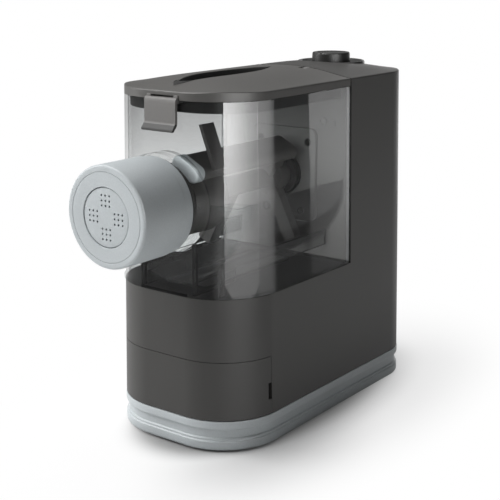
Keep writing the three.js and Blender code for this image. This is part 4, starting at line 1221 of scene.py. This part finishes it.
class PASTA_OT_lid(bpy.types.Operator):
    """Domed lid with the pouring slot."""

    bl_idname = "pasta.lid"
    bl_label = "Lid"

    def execute(self, context):
        shape = domed([(0, LID_LOW)]).slice("y", 27.8, trim=True).thicken(sizes().shell - 0.2, even=False)
        shape = shape.union(stack([(2.2, 264.5), (2.2, 271.5)], lens, "capped"))
        rooms = abreast(block, (-HINGE_X, HINGE_X), 3.3, 20.2, 31, 250, 300)
        rooms.join(block(-15.1, 15.1, -123, -112, 255, 263.2))
        # The slot's inner walls take the dark finish: painted shade inside the slot, on the lid's own plastic.
        shape = shape.cut(self.slot(), rooms).marked(self.in_slot)
        shape.join(
            self.rear_wall(), abreast(ridge, (-16.4, 16.4), 1.2, -118.6, -113, 260.2, 265),
            abreast(block, (-27.2, -16.8, 16.8, 27.2), 1.3, 20, 26.5, 264.5, 270.4, soft=0.4))
        shape.piece("lid_top", "lid", "lid", "lid_shell", angle=32, more=["dark"])
        return {"FINISHED"}

    def in_slot(self, face):
        middle = face.calc_center_median()
        along = abs(middle.y - SLOT_Y) < SLOT_LENGTH + 1.5
        return abs(face.normal.z) < 0.6 and abs(middle.x) < SLOT_WIDTH + 1.2 and along

    def slot(self):
        """What the pouring slot takes out, flared where it meets the dome."""
        rows = (0, -16), (0, -0.9), (0.12, -0.45), (0.45, -0.12), (0.95, 0.03), (1.6, 0.4), (1.6, 5)
        return raise_to_dome(stack([(growth, LID_EDGE + z) for growth, z in rows], lens, "capped"))

    def rear_wall(self):
        """Three stretches of wall under the lid's rear edge, with gaps for the hinge lugs."""
        wall, y, low_edge = Shape(), 25.4, 261.4
        for low, high in ((-61.5, -25.8), (-18.2, 18.2), (25.8, 61.5)):
            across = [low + (high - low) * k / 8 for k in range(9)]
            top = [(x, y, dome_height(x, y) - 0.6) for x in across]
            wall.join(profile_face([*top, (high, y, low_edge), (low, y, low_edge)]).raised(y=2.2))
        return wall


class PASTA_OT_lid_inside(bpy.types.Operator):
    """Skirt, water channel and hinge pins under the lid."""

    bl_idname = "pasta.lid_inside"
    bl_label = "Lid inside"

    def execute(self, context):
        skirt = stack([
            (-4.6, 251.8), (-4.6, 260.6), (-2.9, 260.6), (-2.9, 262.4), (-6.8, 262.4), (-6.8, 251.6),
            (-6.6, 251.4), (-4.8, 251.4)], ends="ring").lean()
        skirt = skirt.cut(block(-90, 90, 21, 140, 240, 280), block(-18, 18, -130, -108, 256.8, 270))
        skirt.join(ridge(-22, 22, -112.4, -111, 251.8, 262.2)).piece("lid_band", "lid", "dark", "lid_skirt")
        pan = stack([(4.6, 258.4), (4.6, 264.2)], lens, "capped").cut(stack([(2.8, 260), (2.8, 270)], lens, "capped"))
        drips = [post(2.4, 250, 270, 0, SLOT_Y + 16 * k, 28) for k in range(-2, 3)]
        pan = pan.cut(together(*drips)).soften(0.3, 2, 60)
        pan.join(*[abreast(ridge, (-35.1, 35.1), 21.1, y - 3, y + 3, 262.7, 264.2) for y in (-72, -26)])
        pan.piece("channel", "lid", "dark", "water_channel")
        for side, x in (("left", -HINGE_X), ("right", HINGE_X)):
            pin = crossbar(1.1, 6.4, x, HINGE_Y, HINGE_Z).soften(0.3)
            pin.piece(f"pin_{side}", "lid", "steel", f"hinge_pin_{side}")
        return {"FINISHED"}


class PASTA_OT_latch(bpy.types.Operator):
    """Latch plate with its flared finger lip."""

    bl_idname = "pasta.latch"
    bl_label = "Latch"

    def execute(self, context):
        half, tip = 14.6, 238.2
        sheet = Shape()
        _, edges = sheet.path([(-half, y, z) for y, z in (
            (LATCH_Y, 261.6), (-121.2, 261.9), (-122.5, 261.6), (-123.4, 260.8), (-123.8, 259.4), (-124.0, 257.6),
            (-124.3, 244.8), (-124.5, 243.8), (-125.0, 242.9), (-127.2, 240.4), (-127.9, 239.4), (-128.1, tip))])
        sheet.carry(bmesh.ops.extrude_edge_only(sheet.bm, edges=edges), x=2 * half)
        sheet.bevel([v for v in sheet.bm.verts if v.co.z < tip + 0.1], 5.2, 8, "VERTICES")
        plate = sheet.face_out((0, -1, 0)).thicken(2.3).soften(0.5, 3, 50)
        # The lip below 243 mm takes the dark finish: painted shade on the latch's own grey plastic.
        plate.marked(lambda face: face.calc_center_median().z < 243)
        plate.join(
            abreast(block, (-12.6, 12.6), 2, -121.5, -113.6, 258, 263.6, soft=0.6),
            crossbar(1.1, 17.4, 0, LATCH_Y, LATCH_Z))
        plate.piece("latch_plate", "latch", "middle", "latch", angle=32, more=["dark"])
        return {"FINISHED"}


class PASTA_OT_drive(bpy.types.Operator):
    """Finishes for the gears, motor, dial shaft and board, which keep their CAD shapes."""

    bl_idname = "pasta.drive"
    bl_label = "Drive and board"

    def execute(self, context):
        kept = {
            "nylon": ["output_gear", "idler_gear"],
            "steel": ["idler_axle", "motor_pinion", "motor_can", "motor_rotor", "front_bearing", "rear_bearing",
                      "dial_shaft"],
            "dark": ["cooling_fan", "selector_switch"],
            "middle": ["gearbox_front", "gearbox_rear"],
            "board": ["control_board"]}
        for finish, nodes in kept.items():
            for node in nodes:
                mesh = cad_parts[node].data
                mesh.materials.clear()
                mesh.materials.append(FINISHES[finish].material)
        return {"FINISHED"}


class PASTA_OT_stage(bpy.types.Operator):
    """Camera, floor, world and lamps. It comes last, because some lamps are kept to pieces."""

    bl_idname = "pasta.stage"
    bl_label = "Stage"

    def execute(self, context):
        make_camera(context.scene)
        make_floor()
        make_world(context.scene)
        make_lamps()
        return {"FINISHED"}


class PASTA_PT_panel(bpy.types.Panel):
    """Lists the pieces and their sizes and colours."""

    bl_idname = "PASTA_PT_panel"
    bl_label = "Pasta maker"
    bl_space_type = "VIEW_3D"
    bl_region_type = "UI"
    bl_category = "Pasta maker"

    def draw(self, context):
        for operator in OPERATORS:
            self.layout.operator(operator.bl_idname)
        for group in (sizes(), colours()):
            for name in group.__annotations__:
                self.layout.prop(group, name)


OPERATORS = (
    PASTA_OT_base, PASTA_OT_housing, PASTA_OT_tower_wall, PASTA_OT_inlet, PASTA_OT_chamber,
    PASTA_OT_barrel, PASTA_OT_disc, PASTA_OT_nut, PASTA_OT_auger, PASTA_OT_paddle, PASTA_OT_coupling,
    PASTA_OT_dial, PASTA_OT_drawer, PASTA_OT_stored, PASTA_OT_lid, PASTA_OT_lid_inside, PASTA_OT_latch,
    PASTA_OT_drive, PASTA_OT_stage)
CLASSES = (Sizes, Colours, *OPERATORS, PASTA_PT_panel)


def register():
    for item in CLASSES:
        bpy.utils.register_class(item)
    bpy.types.Scene.pasta_sizes = PointerProperty(type=Sizes)
    bpy.types.Scene.pasta_colours = PointerProperty(type=Colours)


def unregister():
    del bpy.types.Scene.pasta_colours
    del bpy.types.Scene.pasta_sizes
    for item in reversed(CLASSES):
        bpy.utils.unregister_class(item)


def main():
    register()
    make_finishes()
    for operator in OPERATORS:
        group, name = operator.bl_idname.split(".")
        getattr(getattr(bpy.ops, group), name)()


if __name__ == "__main__":
    main()
